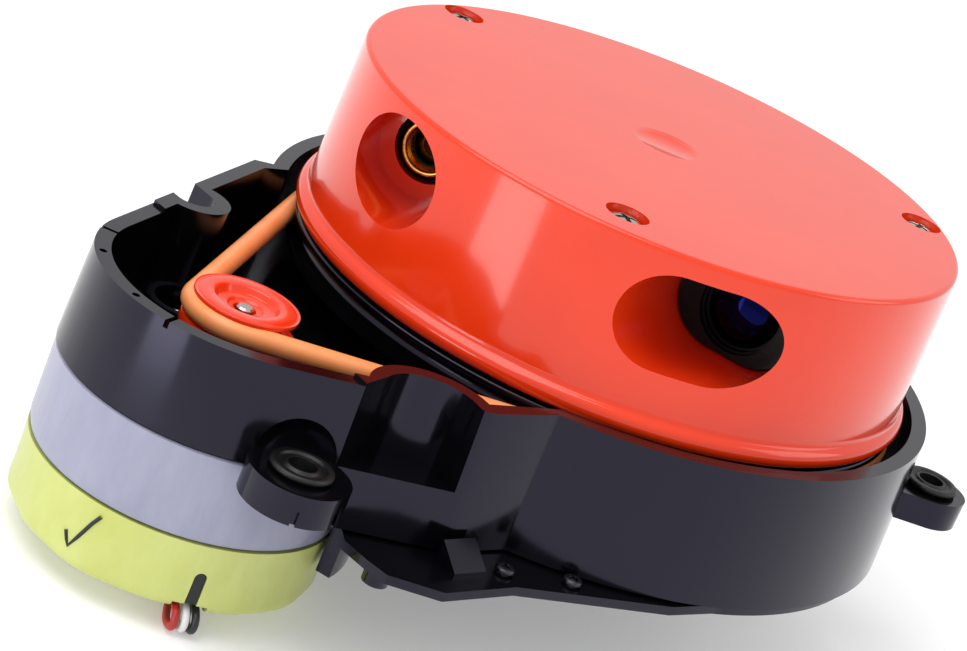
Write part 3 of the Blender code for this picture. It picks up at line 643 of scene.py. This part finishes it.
# Turret base: the black lower ring of the turret, moulded in ABS, with a flange that shows under
# the orange bead, the belt's groove, a floor and the seat that the bearing is pressed into.
BELT_HEIGHT = 0.0151
GROOVE_RADIUS = 0.0379
groove = arc((GROOVE_RADIUS, BELT_HEIGHT), 0.00155, 60, 300, 20)
ring_profile = (
    [
        (0.0146, 0.0194),
        (0.0365, 0.0194),
        (0.0365, 0.0170),
        (0.0387, 0.0170),
        (0.0389, 0.0168),
        (0.0389, groove[0][1]),
    ]
    + groove
    + [(0.0389, groove[-1][1]), (0.0389, 0.0131), (0.0387, 0.0129), (0.0348, 0.0129), (0.0348, 0.0178)]
    + [
        (0.0182, 0.0178),
        (0.0182, 0.0110),
        (0.0163, 0.0110),
        (0.0163, 0.0168),
        (0.0146, 0.0168),
        (0.0146, 0.0194),
    ]
)
turret_ring = turned("turret_ring", ring_profile, steps=200)
shape_with(
    turret_ring, *[disc("bore", 0.0013, 0.0170, 0.0210, polar(*spot), 32) for spot in TURRET_SCREWS]
)
soften(turret_ring, 0.00012)
# Glossy black ABS: a mirror-like skin that takes on the grey of the room.
black_abs = surface(
    "black_gloss_abs",
    "#08080B",
    "#050507",
    (0.10, 0.18),
    0.0050,
    0.000010,
    patch=0.012,
    level=0.42,
    tint="#DCD8FF",
)
assemble(turret_ring, "turret", "black_abs", black_abs, "turret_base")

# Tray: the module's base, one deep black ABS moulding. A round bowl holds the turret and a lobe
# holds the motor. The motor's screws, the bearing's post and four ears are all part of it.
MOTOR_X = -0.0562
BASE_RADIUS = 0.0428
LOBE_RADIUS = 0.0178
WALL = 0.0019
TRAY_BOTTOM = 0.0014
DECK_BOTTOM = 0.0064
DECK_TOP = 0.0084
RIM_TOP = 0.0183
MOTOR_SCREWS = ((MOTOR_X, -0.0093), (MOTOR_X, 0.0093))
RECESS = (-0.0488, -0.0239)
NOTCH = (-0.0489, 0.0214)
LOBE_EARS = ((-0.0614, -0.0214),)
ROUND_EARS = ((0.0, 0.0483), (0.0375, -0.0305), (0.0375, 0.0305))
flank_normal = math.pi - math.acos((BASE_RADIUS - LOBE_RADIUS) / -MOTOR_X)


def flank_point(x, side, grow):
    """The point of the straight flank at x; side is 1 at the back and -1 at the front."""
    reach = LOBE_RADIUS + grow - (x - MOTOR_X) * math.cos(flank_normal)
    return (x, side * reach / math.sin(flank_normal))


def tray_outline(grow):
    normal = math.degrees(flank_normal)
    return (
        arc((0, 0), BASE_RADIUS + grow, -140, 133.5, 150)
        + [flank_point(-0.0318, 1, grow)]
        + arc((MOTOR_X, 0), LOBE_RADIUS + grow, normal, 360 - normal, 60)
        + [flank_point(-0.0420, -1, grow)]
    )


tray = prism("tray", tray_outline(0.00076), TRAY_BOTTOM, RIM_TOP, tray_outline(0))
ears = []
for place in LOBE_EARS + ROUND_EARS:
    radius = 0.0058 if place in LOBE_EARS else 0.0050
    ears.append(disc("ear", radius, 0.0048, DECK_TOP, place, 64))
for place in ROUND_EARS:
    inward = Vector(place).normalized()
    side = Vector((-inward.y, inward.x)) * 0.0050
    corners = (
        inward * 0.0420 - side, inward * 0.0420 + side, Vector(place) + side, Vector(place) - side
    )
    ears.append(prism("tongue", [tuple(corner) for corner in corners], 0.0048, DECK_TOP))
shape_with(tray, *ears, operation="UNION")

hollow = prism("hollow", tray_outline(-WALL), DECK_TOP, 0.020)
shape_with(
    hollow,
    disc("recess_wall", 0.0074, 0.007, 0.021, RECESS, 64),
    disc("notch_wall", 0.0044, 0.007, 0.021, NOTCH, 48),
)
recess_outline = [(-0.0556, -0.0202)] + arc(RECESS, 0.0056, 115, -15, 30) + [
    (-0.0432, -0.0330), (-0.0600, -0.0330)
]
recess = prism("recess", recess_outline, DECK_TOP, 0.020)
notch = prism(
    "notch",
    [(-0.0464, 0.0300)] + arc(NOTCH, 0.0025, 0, -180, 20) + [(-0.0519, 0.0300)],
    DECK_TOP,
    0.020,
)
step = block("step", (-0.080, -0.030, RIM_TOP - 0.0004), (-0.0556, 0.030, 0.020))
board_space = prism("board_space", tray_outline(-WALL), 0.0, DECK_BOTTOM)
shape_with(board_space, disc("motor_wall", 0.0218, -0.001, 0.008, (MOTOR_X, 0), 96))
motor_space = disc("motor_space", 0.0200, -0.001, DECK_BOTTOM, (MOTOR_X, 0), 128)
arches = []
for place in LOBE_EARS:
    bpy.ops.object.select_all(action="DESELECT")
    bpy.ops.mesh.primitive_uv_sphere_add(
        segments=48, ring_count=25, radius=0.0056, location=(*place, DECK_TOP)
    )
    arch = bpy.context.object
    bpy.ops.object.mode_set(mode="EDIT")
    bpy.ops.mesh.select_all(action="SELECT")
    bpy.ops.mesh.bisect(plane_co=(0, 0, DECK_TOP), plane_no=(0, 0, -1), clear_outer=True, use_fill=True)
    arches.append(close_mesh(arch))
shape_with(tray, hollow, recess, notch, step, board_space, motor_space, *arches)

post_profile = [
    (0.0055, 0.0074),
    (0.0096, 0.0074),
    (0.0096, 0.0111),
    (0.0080, 0.0111),
    (0.0080, 0.0181),
    (0.0055, 0.0181),
    (0.0055, 0.0074),
]
bosses = [turned("post", post_profile, steps=96)]
COVER_SCREWS = (
    (0.0355, 0.0), (0.0092, 0.0343), (0.0092, -0.0343), (-0.0412, 0.0172), (-0.0412, -0.0172)
)
BOARD_SCREWS = ((0.0240, 0.0), (-0.0120, 0.0208), (-0.0120, -0.0208))
bores = [disc("bore", 0.0055, 0.005, 0.020, steps=96)]
for place in COVER_SCREWS:
    bosses.append(disc("boss", 0.0026, TRAY_BOTTOM, 0.0070, place, 32))
    bores.append(disc("bore", 0.0011, 0.0, 0.0066, place, 24))
for place in BOARD_SCREWS:
    bosses.append(disc("boss", 0.0022, 0.0049, 0.0070, place, 32))
    bores.append(disc("bore", 0.0010, 0.0, 0.0074, place, 24))
for place in MOTOR_SCREWS:
    bosses.append(disc("well", 0.0044, 0.0080, 0.0114, place, 48))
    bores.append(disc("well_bore", 0.0035, DECK_TOP, 0.0130, place, 48))
    bores.append(disc("bore", 0.0012, 0.0050, 0.0100, place, 24))
bores.append(disc("bore", 0.0034, 0.0050, 0.0100, (MOTOR_X, 0), 48))
for place in LOBE_EARS + ROUND_EARS:
    bores.append(disc("bore", 0.0030, 0.0030, 0.0100, place, 48))
shape_with(tray, *bosses, operation="UNION")
EAR_SLOTS = (-125, -75, -35)
# Two saw slits and two small vents are cut across the lobe's rim, and the ears' lower edges
# have three short slots each, where the mould's ejectors and cores stood.
for angle in (128.0, -158.0):
    slit = block("slit", (0.0150, -0.0003, RIM_TOP - 0.0012), (0.0190, 0.0003, 0.020))
    slit.matrix_world = Matrix.Translation((MOTOR_X, 0, 0)) @ Matrix.Rotation(
        math.radians(angle), 4, "Z"
    )
    bores.append(slit)
for angle in (150.0, -176.0):
    bores.append(
        disc(
            "vent",
            0.00045,
            RIM_TOP - 0.0014,
            0.020,
            Vector((MOTOR_X, 0)) + Vector(polar(0.01685, angle)),
            20,
        )
    )
for place in LOBE_EARS:
    for angle in EAR_SLOTS:
        slot = block("slot", (0.0052, -0.0003, 0.0040), (0.0070, 0.0003, 0.0066))
        slot.matrix_world = Matrix.Translation((*place, 0)) @ Matrix.Rotation(
            math.radians(angle), 4, "Z"
        )
        bores.append(slot)
shape_with(tray, *bores)
soften(tray, 0.00022, 2)
assemble(tray, "tray", "black_abs", black_abs, "base_housing")

# Bottom cover: a flat black ABS plate, screwed under the tray over the control board, with a
# flange in front, a locating peg, a curved guard behind the motor and a sloping catch.
COVER_TOP = 0.0011
cover_outline = (
    arc((0, 0), 0.0426, -104.5, 133, 110)
    + [flank_point(-0.0330, 1, -0.0008), flank_point(-0.0465, 1, -0.0008)]
    + arc((MOTOR_X, 0), 0.0189, 71.5, -71.5, 50)
    + [(-0.0538, -0.0240), (-0.0536, -0.0278), (-0.0531, -0.0307)]
    + [(-0.0479, -0.0347), (-0.0371, -0.0347), (-0.0175, -0.0408)]
)
plate = prism("bottom_plate", cover_outline, 0.0, COVER_TOP)
guard = prism(
    "guard",
    arc((MOTOR_X, 0), 0.0189, -68, 68, 40) + arc((MOTOR_X, 0), 0.0207, 68, -68, 40),
    -0.0072,
    COVER_TOP,
)
peg = disc("peg", 0.0015, -0.0016, 0.0005, (-0.0515, -0.0280), 32)
catch = prism(
    "catch",
    [
        (-0.0320, COVER_TOP - 0.0005),
        (-0.0288, COVER_TOP - 0.0005),
        (-0.0288, 0.0038),
        (-0.0320, 0.0015),
    ],
    -0.0444,
    -0.0396,
)
catch.matrix_world = Matrix(((0, 0, 1, 0), (1, 0, 0, 0), (0, 1, 0, 0), (0, 0, 0, 1)))
shape_with(plate, guard, peg, catch, operation="UNION")
RIVETS = ((-0.0366, -0.0319), (-0.0287, -0.0350))
openings = [
    block("window", (0.0117, -0.0258, -0.0010), (0.0243, -0.0202, 0.0030)),
    disc("outlet", 0.0026, -0.001, 0.003, (-0.0366, 0.0146)),
]
for place in COVER_SCREWS:
    openings.append(disc("counterbore", 0.0022, -0.001, 0.0008, place, 40))
    openings.append(disc("hole", 0.0011, -0.001, 0.003, place, 32))
for place in RIVETS:
    openings.append(disc("hole", 0.0009, -0.001, 0.003, place, 32))
shape_with(plate, *openings)
soften(plate, 0.00018, 2)
assemble(plate, "tray", "black_abs", black_abs, "bottom_cover")

# Tray fixings: five screws hold the bottom cover and two hold the motor by its face. Two short
# rivets stand in the flange. All are nickel-plated steel.
set_screws(
    "cover_fixing",
    "cover_screw",
    COVER_SCREWS,
    0.00065,
    (0.0019, 0.0006),
    0.0008,
    0.0056,
    "tray",
    nickel,
    False,
)
seat = DECK_TOP + GAP
set_screws(
    "motor_fixing", "motor_screw", MOTOR_SCREWS, seat, (0.0019, 0.0012), 0.0009, 0.0045, "tray", nickel
)
# The rivets are of blackened steel, dull but for their worn tops.
dark_steel = surface(
    "blackened_steel", "#5A5A60", "#3A3A3E", (0.30, 0.45), 0.0003, 0.000008, patch=0.0005, metallic=1.0
)
seat = COVER_TOP + GAP
set_screws(
    "flange_pin", "flange_rivet", RIVETS, seat, (0.0011, 0.0006), 0.0006, 0.0001, "tray", dark_steel
)

# Ear bushings: four moulded rubber isolators, pushed into the ears from above, so that the
# motor's hum doesn't reach the machine that the module is screwed to.
bushing_profile = [
    (0.0016, 0.0045), (0.0027, 0.0045), (0.0027, DECK_TOP + GAP), (0.0036, DECK_TOP + GAP)
]
bushing_profile += [
    (0.0036, DECK_TOP + 0.0007), (0.0034, DECK_TOP + 0.0009), (0.0028, DECK_TOP + 0.0009)
]
bushing_profile += [
    (0.0026, DECK_TOP + 0.0006), (0.0021, DECK_TOP + 0.0006), (0.0019, DECK_TOP + 0.0009)
]
bushing_profile += [(0.0016, DECK_TOP + 0.0009), (0.0016, 0.0045)]
# Natural rubber with carbon black: matt, dark grey in the light.
rubber = surface("black_rubber", "#0B0B0C", "#070708", (0.38, 0.52), 0.0004, 0.00003, patch=0.002)
bushing_model = turned("bushing_model", bushing_profile, steps=48)
soften(bushing_model, 0.0001)
for name, place in zip(("front_left", "back", "front_right", "back_right"), LOBE_EARS + ROUND_EARS):
    bushing = copied(bushing_model, f"bushing_{name}", Matrix.Translation((*place, 0)))
    assemble(bushing, "tray", "black_rubber", rubber, f"ear_grommet_{name}")
bpy.data.objects.remove(bushing_model)

# Motor sleeve: a band of grey PVC film, shrunk round the upper half of the motor's can.
SLEEVE_RADIUS = 0.0182
SLEEVE_BOTTOM = -0.0040
SLEEVE_TOP = 0.0061
CAN_RADIUS = 0.0161
sleeve_profile = [(CAN_RADIUS + GAP, SLEEVE_TOP), (SLEEVE_RADIUS - 0.0002, SLEEVE_TOP)]
sleeve_profile += [(SLEEVE_RADIUS, SLEEVE_TOP - 0.0002 - 0.0009 * i) for i in range(11)]
sleeve_profile += [
    (SLEEVE_RADIUS - 0.0003, SLEEVE_BOTTOM),
    (CAN_RADIUS + GAP, SLEEVE_BOTTOM),
    (CAN_RADIUS + GAP, SLEEVE_TOP),
]
sleeve = turned("sleeve", sleeve_profile, (MOTOR_X, 0), 160)
soften(sleeve, 0)
# Slightly cloudy film with long soft vertical stretch marks and a satin gloss.
grey_film = surface(
    "grey_pvc_film", "#9798AE", "#8889A0", (
        0.28, 0.42
    ), 0.0016, 0.00012, patch=0.005, stretch=(1, 1, 0.35), coat=0.3
)
assemble(sleeve, "tray", "grey_foam", grey_film, "motor_sleeve")

# Motor wrap: yellow-green film over the lower half of the motor, folded in under its end, with
# a slot that the leads come out of. The film is a little loose, so it creases near its edge.
WRAP_BOTTOM = -0.0126
WRAP_RADIUS = 0.0181
wrap_top = SLEEVE_BOTTOM - GAP
wrap_profile = [(0, WRAP_BOTTOM), (0.0060, WRAP_BOTTOM), (0.0110, WRAP_BOTTOM), (0.0145, WRAP_BOTTOM)]
wrap_profile += arc((WRAP_RADIUS - 0.0012, WRAP_BOTTOM + 0.0012), 0.0012, -90, 0, 8)
wrap_profile += [
    (
        WRAP_RADIUS, WRAP_BOTTOM + 0.0012 + (wrap_top - WRAP_BOTTOM - 0.0012) * i / 12
    ) for i in range(1, 13)
]
wrap_profile += [(CAN_RADIUS + GAP, wrap_top), (CAN_RADIUS + GAP, -0.0113), (0, -0.0113)]
wrap = turned("wrap", wrap_profile, (MOTOR_X, 0), 200)
for vertex in wrap.data.vertices:
    x, y, z = vertex.co.x - MOTOR_X, vertex.co.y, vertex.co.z
    radius = math.hypot(x, y)
    if radius < CAN_RADIUS + 0.0008 and z > WRAP_BOTTOM + 0.0005:
        continue
    angle = math.atan2(y, x)
    low = max(0.0, min(1.0, (wrap_top - z) / 0.008))
    crease = 0.00016 * math.sin(5 * angle + 250 * z) + 0.00009 * math.sin(13 * angle - 410 * z + 1.0)
    if radius > 0.0100:
        vertex.co.x += x / radius * crease * low
        vertex.co.y += y / radius * crease * low
    vertex.co.z += 0.00010 * math.sin(3 * angle + 0.4) * low if z < -0.006 and z > WRAP_BOTTOM else 0.0
SLOT_ANGLE = -116.0
slot_turn = Matrix.Translation(
    (MOTOR_X + polar(WRAP_RADIUS, SLOT_ANGLE)[0], polar(WRAP_RADIUS, SLOT_ANGLE)[1], 0)
)
slot_turn = slot_turn @ Matrix.Rotation(math.radians(SLOT_ANGLE), 4, "Z")
lead_gap = block("lead_gap", (-0.0052, -0.0020, -0.0140), (0.0020, 0.0020, -0.0116), slot_turn)
slot_turn = slot_turn @ Matrix(((0, 0, 1, 0), (1, 0, 0, 0), (0, 1, 0, 0), (0, 0, 0, 1)))
slot_outline = arc((0, -0.0082), 0.0007, 0, 180, 12) + [(-0.0007, -0.0120), (0.0007, -0.0120)]
shape_with(wrap, prism("wrap_slot", slot_outline, -0.0014, 0.0020, place=slot_turn), lead_gap)
soften(wrap, 0.0)
# Satin film: pale yellow-green, cloudy, with fine wrinkles that catch the light.
yellow_film = surface(
    "yellow_film", "#C2C978", "#B7BD60", (
        0.30, 0.48
    ), 0.0022, 0.00016, patch=0.006, stretch=(1, 1, 0.6), coat=0.25
)
assemble(wrap, "tray", "yellow_wrap", yellow_film, "motor_wrap")
# A black plug fills the wrap's slot almost to its face: painted shade, for the dark inside of the
# narrow slot.
slot_shade_outline = arc((0, -0.0082), 0.00062, 0, 180, 12) + [(-0.00062, -0.0115), (0.00062, -0.0115)]
slot_shade_plug = prism("slot_painted_shade", slot_shade_outline, -0.0013, -0.00015, place=slot_turn)
soften(slot_shade_plug, 0.0001)
assemble(slot_shade_plug, "tray", "black_rubber", rubber)

# Inspection tick: a short felt-pen stroke on the wrap, left by whoever tested the motor.
tick = bpy.data.curves.new("pen_tick", "CURVE")
tick.dimensions = "3D"
tick.bevel_depth = 0.00022
tick.bevel_resolution = 3
stroke = tick.splines.new("POLY")
tick_points = []
for along, height in (
    (0.0, -0.0090), (0.7, -0.0099), (1.4, -0.0105), (2.6, -0.0090), (4.2, -0.0068), (5.4, -0.0055)
):
    x, y = polar(WRAP_RADIUS + 0.00004, -166.0 + 2.0 * along)
    tick_points.append((MOTOR_X + x, y, height))
stroke.points.add(len(tick_points) - 1)
for point, place in zip(stroke.points, tick_points):
    point.co = (*place, 1.0)
tick_piece = bpy.data.objects.new("pen_tick", tick)
bpy.context.scene.collection.objects.link(tick_piece)
bpy.ops.object.select_all(action="DESELECT")
tick_piece.select_set(True)
bpy.context.view_layer.objects.active = tick_piece
bpy.ops.object.convert(target="MESH")
# Dried marker ink: a soft blue-black, nearly matt.
ink = surface("marker_ink", "#20202A", "#14141B", (0.5, 0.7), 0.0005, 0.00001, patch=0.002)
assemble(tick_piece, "tray", "black_abs", ink)

# Drive pulley: a flanged wheel moulded in the cover's orange ABS, pressed on the motor's shaft.
PULLEY_TOP = 0.0168
pulley_groove = arc((0.00585, BELT_HEIGHT), 0.00155, 86, 250, 18)
pulley_profile = (
    [
        (0.0013, 0.0157),
        (0.0019, 0.0157),
        (0.0021, 0.0160),
        (0.0034, 0.0160),
        (0.0037, PULLEY_TOP - 0.0001),
        (0.0039, PULLEY_TOP),
    ]
    + [
        (0.0053, PULLEY_TOP),
        (0.0058, PULLEY_TOP - 0.0002),
        (0.0061, PULLEY_TOP - 0.0006),
        (0.0061, pulley_groove[0][1] + 0.0001),
    ]
    + pulley_groove
    + [(0.0066, pulley_groove[-1][1]), (0.0066, 0.0124), (0.0013, 0.0124), (0.0013, 0.0157)]
)
pulley = turned("pulley", pulley_profile, (MOTOR_X, 0), 96)
soften(pulley, 0.00012)
assemble(pulley, "motor_rotor", "orange_abs", orange_abs, "drive_pulley")

shaft_profile = [(0, -0.0113), (0.0010, -0.0113), (0.0010, 0.0158), (0.0008, 0.0160), (0, 0.0160)]
shaft = turned("shaft", shaft_profile, (MOTOR_X, 0), 40)
soften(shaft, 0)
assemble(shaft, "motor_rotor", "steel", nickel, "motor_shaft")
boss_profile = [
    (0.0014, 0.0064),
    (0.0030, 0.0064),
    (0.0030, 0.0094),
    (0.0028, 0.0096),
    (0.0014, 0.0096),
    (0.0014, 0.0064),
]
motor_boss = turned("motor_boss", boss_profile, (MOTOR_X, 0), 48)
soften(motor_boss, 0.00008)
assemble(motor_boss, "tray", "brass", brass, "motor_bushing")

# Drive belt: one endless round belt of extruded orange polyurethane, welded into a loop. It
# runs from the pulley's groove to the turret's, a little stretched.
lean = math.degrees(math.acos((GROOVE_RADIUS - 0.00585) / -MOTOR_X))
belt_path = arc(
    (0, 0), GROOVE_RADIUS, 180 - lean, lean - 180, 160
) + arc((MOTOR_X, 0), 0.00585, 180 + lean, 180 - lean, 36)


def round_line(name, points, radius, closed, resolution=6):
    line = bpy.data.curves.new(name, "CURVE")
    line.dimensions = "3D"
    line.bevel_depth = radius
    line.bevel_resolution = resolution
    line.use_fill_caps = not closed
    spline = line.splines.new("POLY")
    spline.points.add(len(points) - 1)
    for point, place in zip(spline.points, points):
        point.co = (*place, 1.0)
    spline.use_cyclic_u = closed
    spline.use_smooth = True
    piece = bpy.data.objects.new(name, line)
    bpy.context.scene.collection.objects.link(piece)
    return piece


belt = round_line("belt", [(x, y, BELT_HEIGHT) for x, y in belt_path], 0.00125, True)
bpy.ops.object.select_all(action="DESELECT")
belt.select_set(True)
bpy.context.view_layer.objects.active = belt
bpy.ops.object.convert(target="MESH")
# Polyurethane: soft orange, satin, slightly waxy, with faint dust.
belt_orange = surface(
    "orange_polyurethane", "#FFA468", "#FC9654", (0.30, 0.45), 0.0006, 0.00001, patch=0.004
)
assemble(belt, "tray", "belt_rubber", belt_orange, "drive_belt")

# Motor leads: three PVC-insulated wires, out of the wrap's slot, under the motor and up through
# the bottom cover to the board's header. They are short and held at both ends.
LEAD_RADIUS = 0.00045
LEAD_PITCH = 0.00115
LEAVING = (
    (0.0136, -0.0122),
    (0.0158, -0.0124),
    (0.0176, -0.0128),
    (0.0184, -0.0137),
    (0.0178, -0.0147),
    (0.0155, -0.0150),
)
UNDER_MOTOR = (
    (-0.0600, -0.0103, -0.0146),
    (-0.0560, -0.0055, -0.0142),
    (-0.0500, 0.0016, -0.0139),
    (-0.0440, 0.0087, -0.0137),
    (-0.0402, 0.0128, -0.0133),
    (-0.0378, 0.0145, -0.0112),
    (-0.0369, 0.0147, -0.0075),
    (-0.0366, 0.0146, -0.0030),
    (-0.0364, 0.0145, 0.0006),
    (-0.0350, 0.0142, 0.0021),
    (-0.0320, 0.0134, 0.0023),
    (-0.0290, 0.0127, 0.0023),
    (-0.0268, 0.0125, 0.0023),
)


def lead_route(lane, per_span=6):
    """A smooth way through one lead's points; lane is -1, 0 or 1 across the flat run of three."""
    route = []
    for out, height in LEAVING:
        x, y = polar(out, SLOT_ANGLE)
        across = polar(LEAD_PITCH * lane, SLOT_ANGLE + 90)
        route.append((MOTOR_X + x + across[0], y + across[1], height))
    for i, (x, y, z) in enumerate(UNDER_MOTOR):
        across = polar(LEAD_PITCH * lane, -38 if i < 8 else -38 - 16 * min(4, i - 7))
        route.append((x + across[0], y + across[1], z))
    ends = [route[0], *route, route[-1]]
    smooth = []
    for before, start, end, after in zip(ends, ends[1:], ends[2:], ends[3:]):
        for i in range(per_span):
            t = i / per_span
            smooth.append(
                tuple(
                    0.5 * (
                        2 * b + (c - a) * t + (
                            2 * a - 5 * b + 4 * c - d
                        ) * t**2 + (3 * b - a - 3 * c + d) * t**3
                    )
                    for a, b, c, d in zip(before, start, end, after)
                )
            )
    return smooth + [route[-1]]


for name, lane, pale, deep in (
    ("red", -1, "#B3221E", "#9C1B18"),
    ("white", 0, "#E2E2E2", "#D2D2D2"),
    ("black", 1, "#26262A", "#1B1B1E"),
):
    # Soft PVC insulation: even colour, satin, with a faint drawn texture.
    pvc = surface(f"{name}_pvc", pale, deep, (0.32, 0.45), 0.0005, 0.00001, patch=0.003)
    lead = round_line(f"lead_{name}", lead_route(lane), LEAD_RADIUS, False, 4)
    assemble(lead, "tray", f"lead_{name}", pvc, f"motor_lead_{name}")

# Inside pieces: the motor's can and rotor, the bearing, the coils and the boards keep their
# shapes, and each gets the finish of what it is made of.
enamel = surface(
    "enamelled_copper", "#B5713F", "#8E5230", (0.25, 0.40), 0.00025, 0.00005, patch=0.001, metallic=0.8
)
mask_green = surface(
    "green_solder_mask", "#1E6B3A", "#175530", (0.22, 0.35), 0.0010, 0.00001, patch=0.003, coat=0.5
)
ferrite = surface("sintered_ferrite", "#3A3A3C", "#2B2B2D", (0.55, 0.75), 0.0003, 0.00002, patch=0.001)
nylon = surface("natural_nylon", "#E6E2D8", "#DAD6CB", (0.35, 0.50), 0.0005, 0.00001, patch=0.004)
INSIDE = {
    "motor_can": nickel,
    "bearing_inner_race": nickel,
    "bearing_outer_race": nickel,
    "bearing_clip": nickel,
    "bearing_cage": brass,
    "laser_diode": brass,
    "power_coil_lower": enamel,
    "power_coil_upper": enamel,
    "motor_armature": enamel,
    "motor_magnet": ferrite,
    "image_sensor": ferrite,
    "motor_end_cap": nylon,
    "board_connector": nylon,
    "motor_header": nylon,
    "control_board": mask_green,
    "turret_board": mask_green,
    "sensor_board": mask_green,
    "board_screw_1": nickel,
    "board_screw_2": nickel,
    "board_screw_3": nickel,
}
for name, finish in INSIDE.items():
    frame["nodes"][name].material_slots[0].material = finish

low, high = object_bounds()
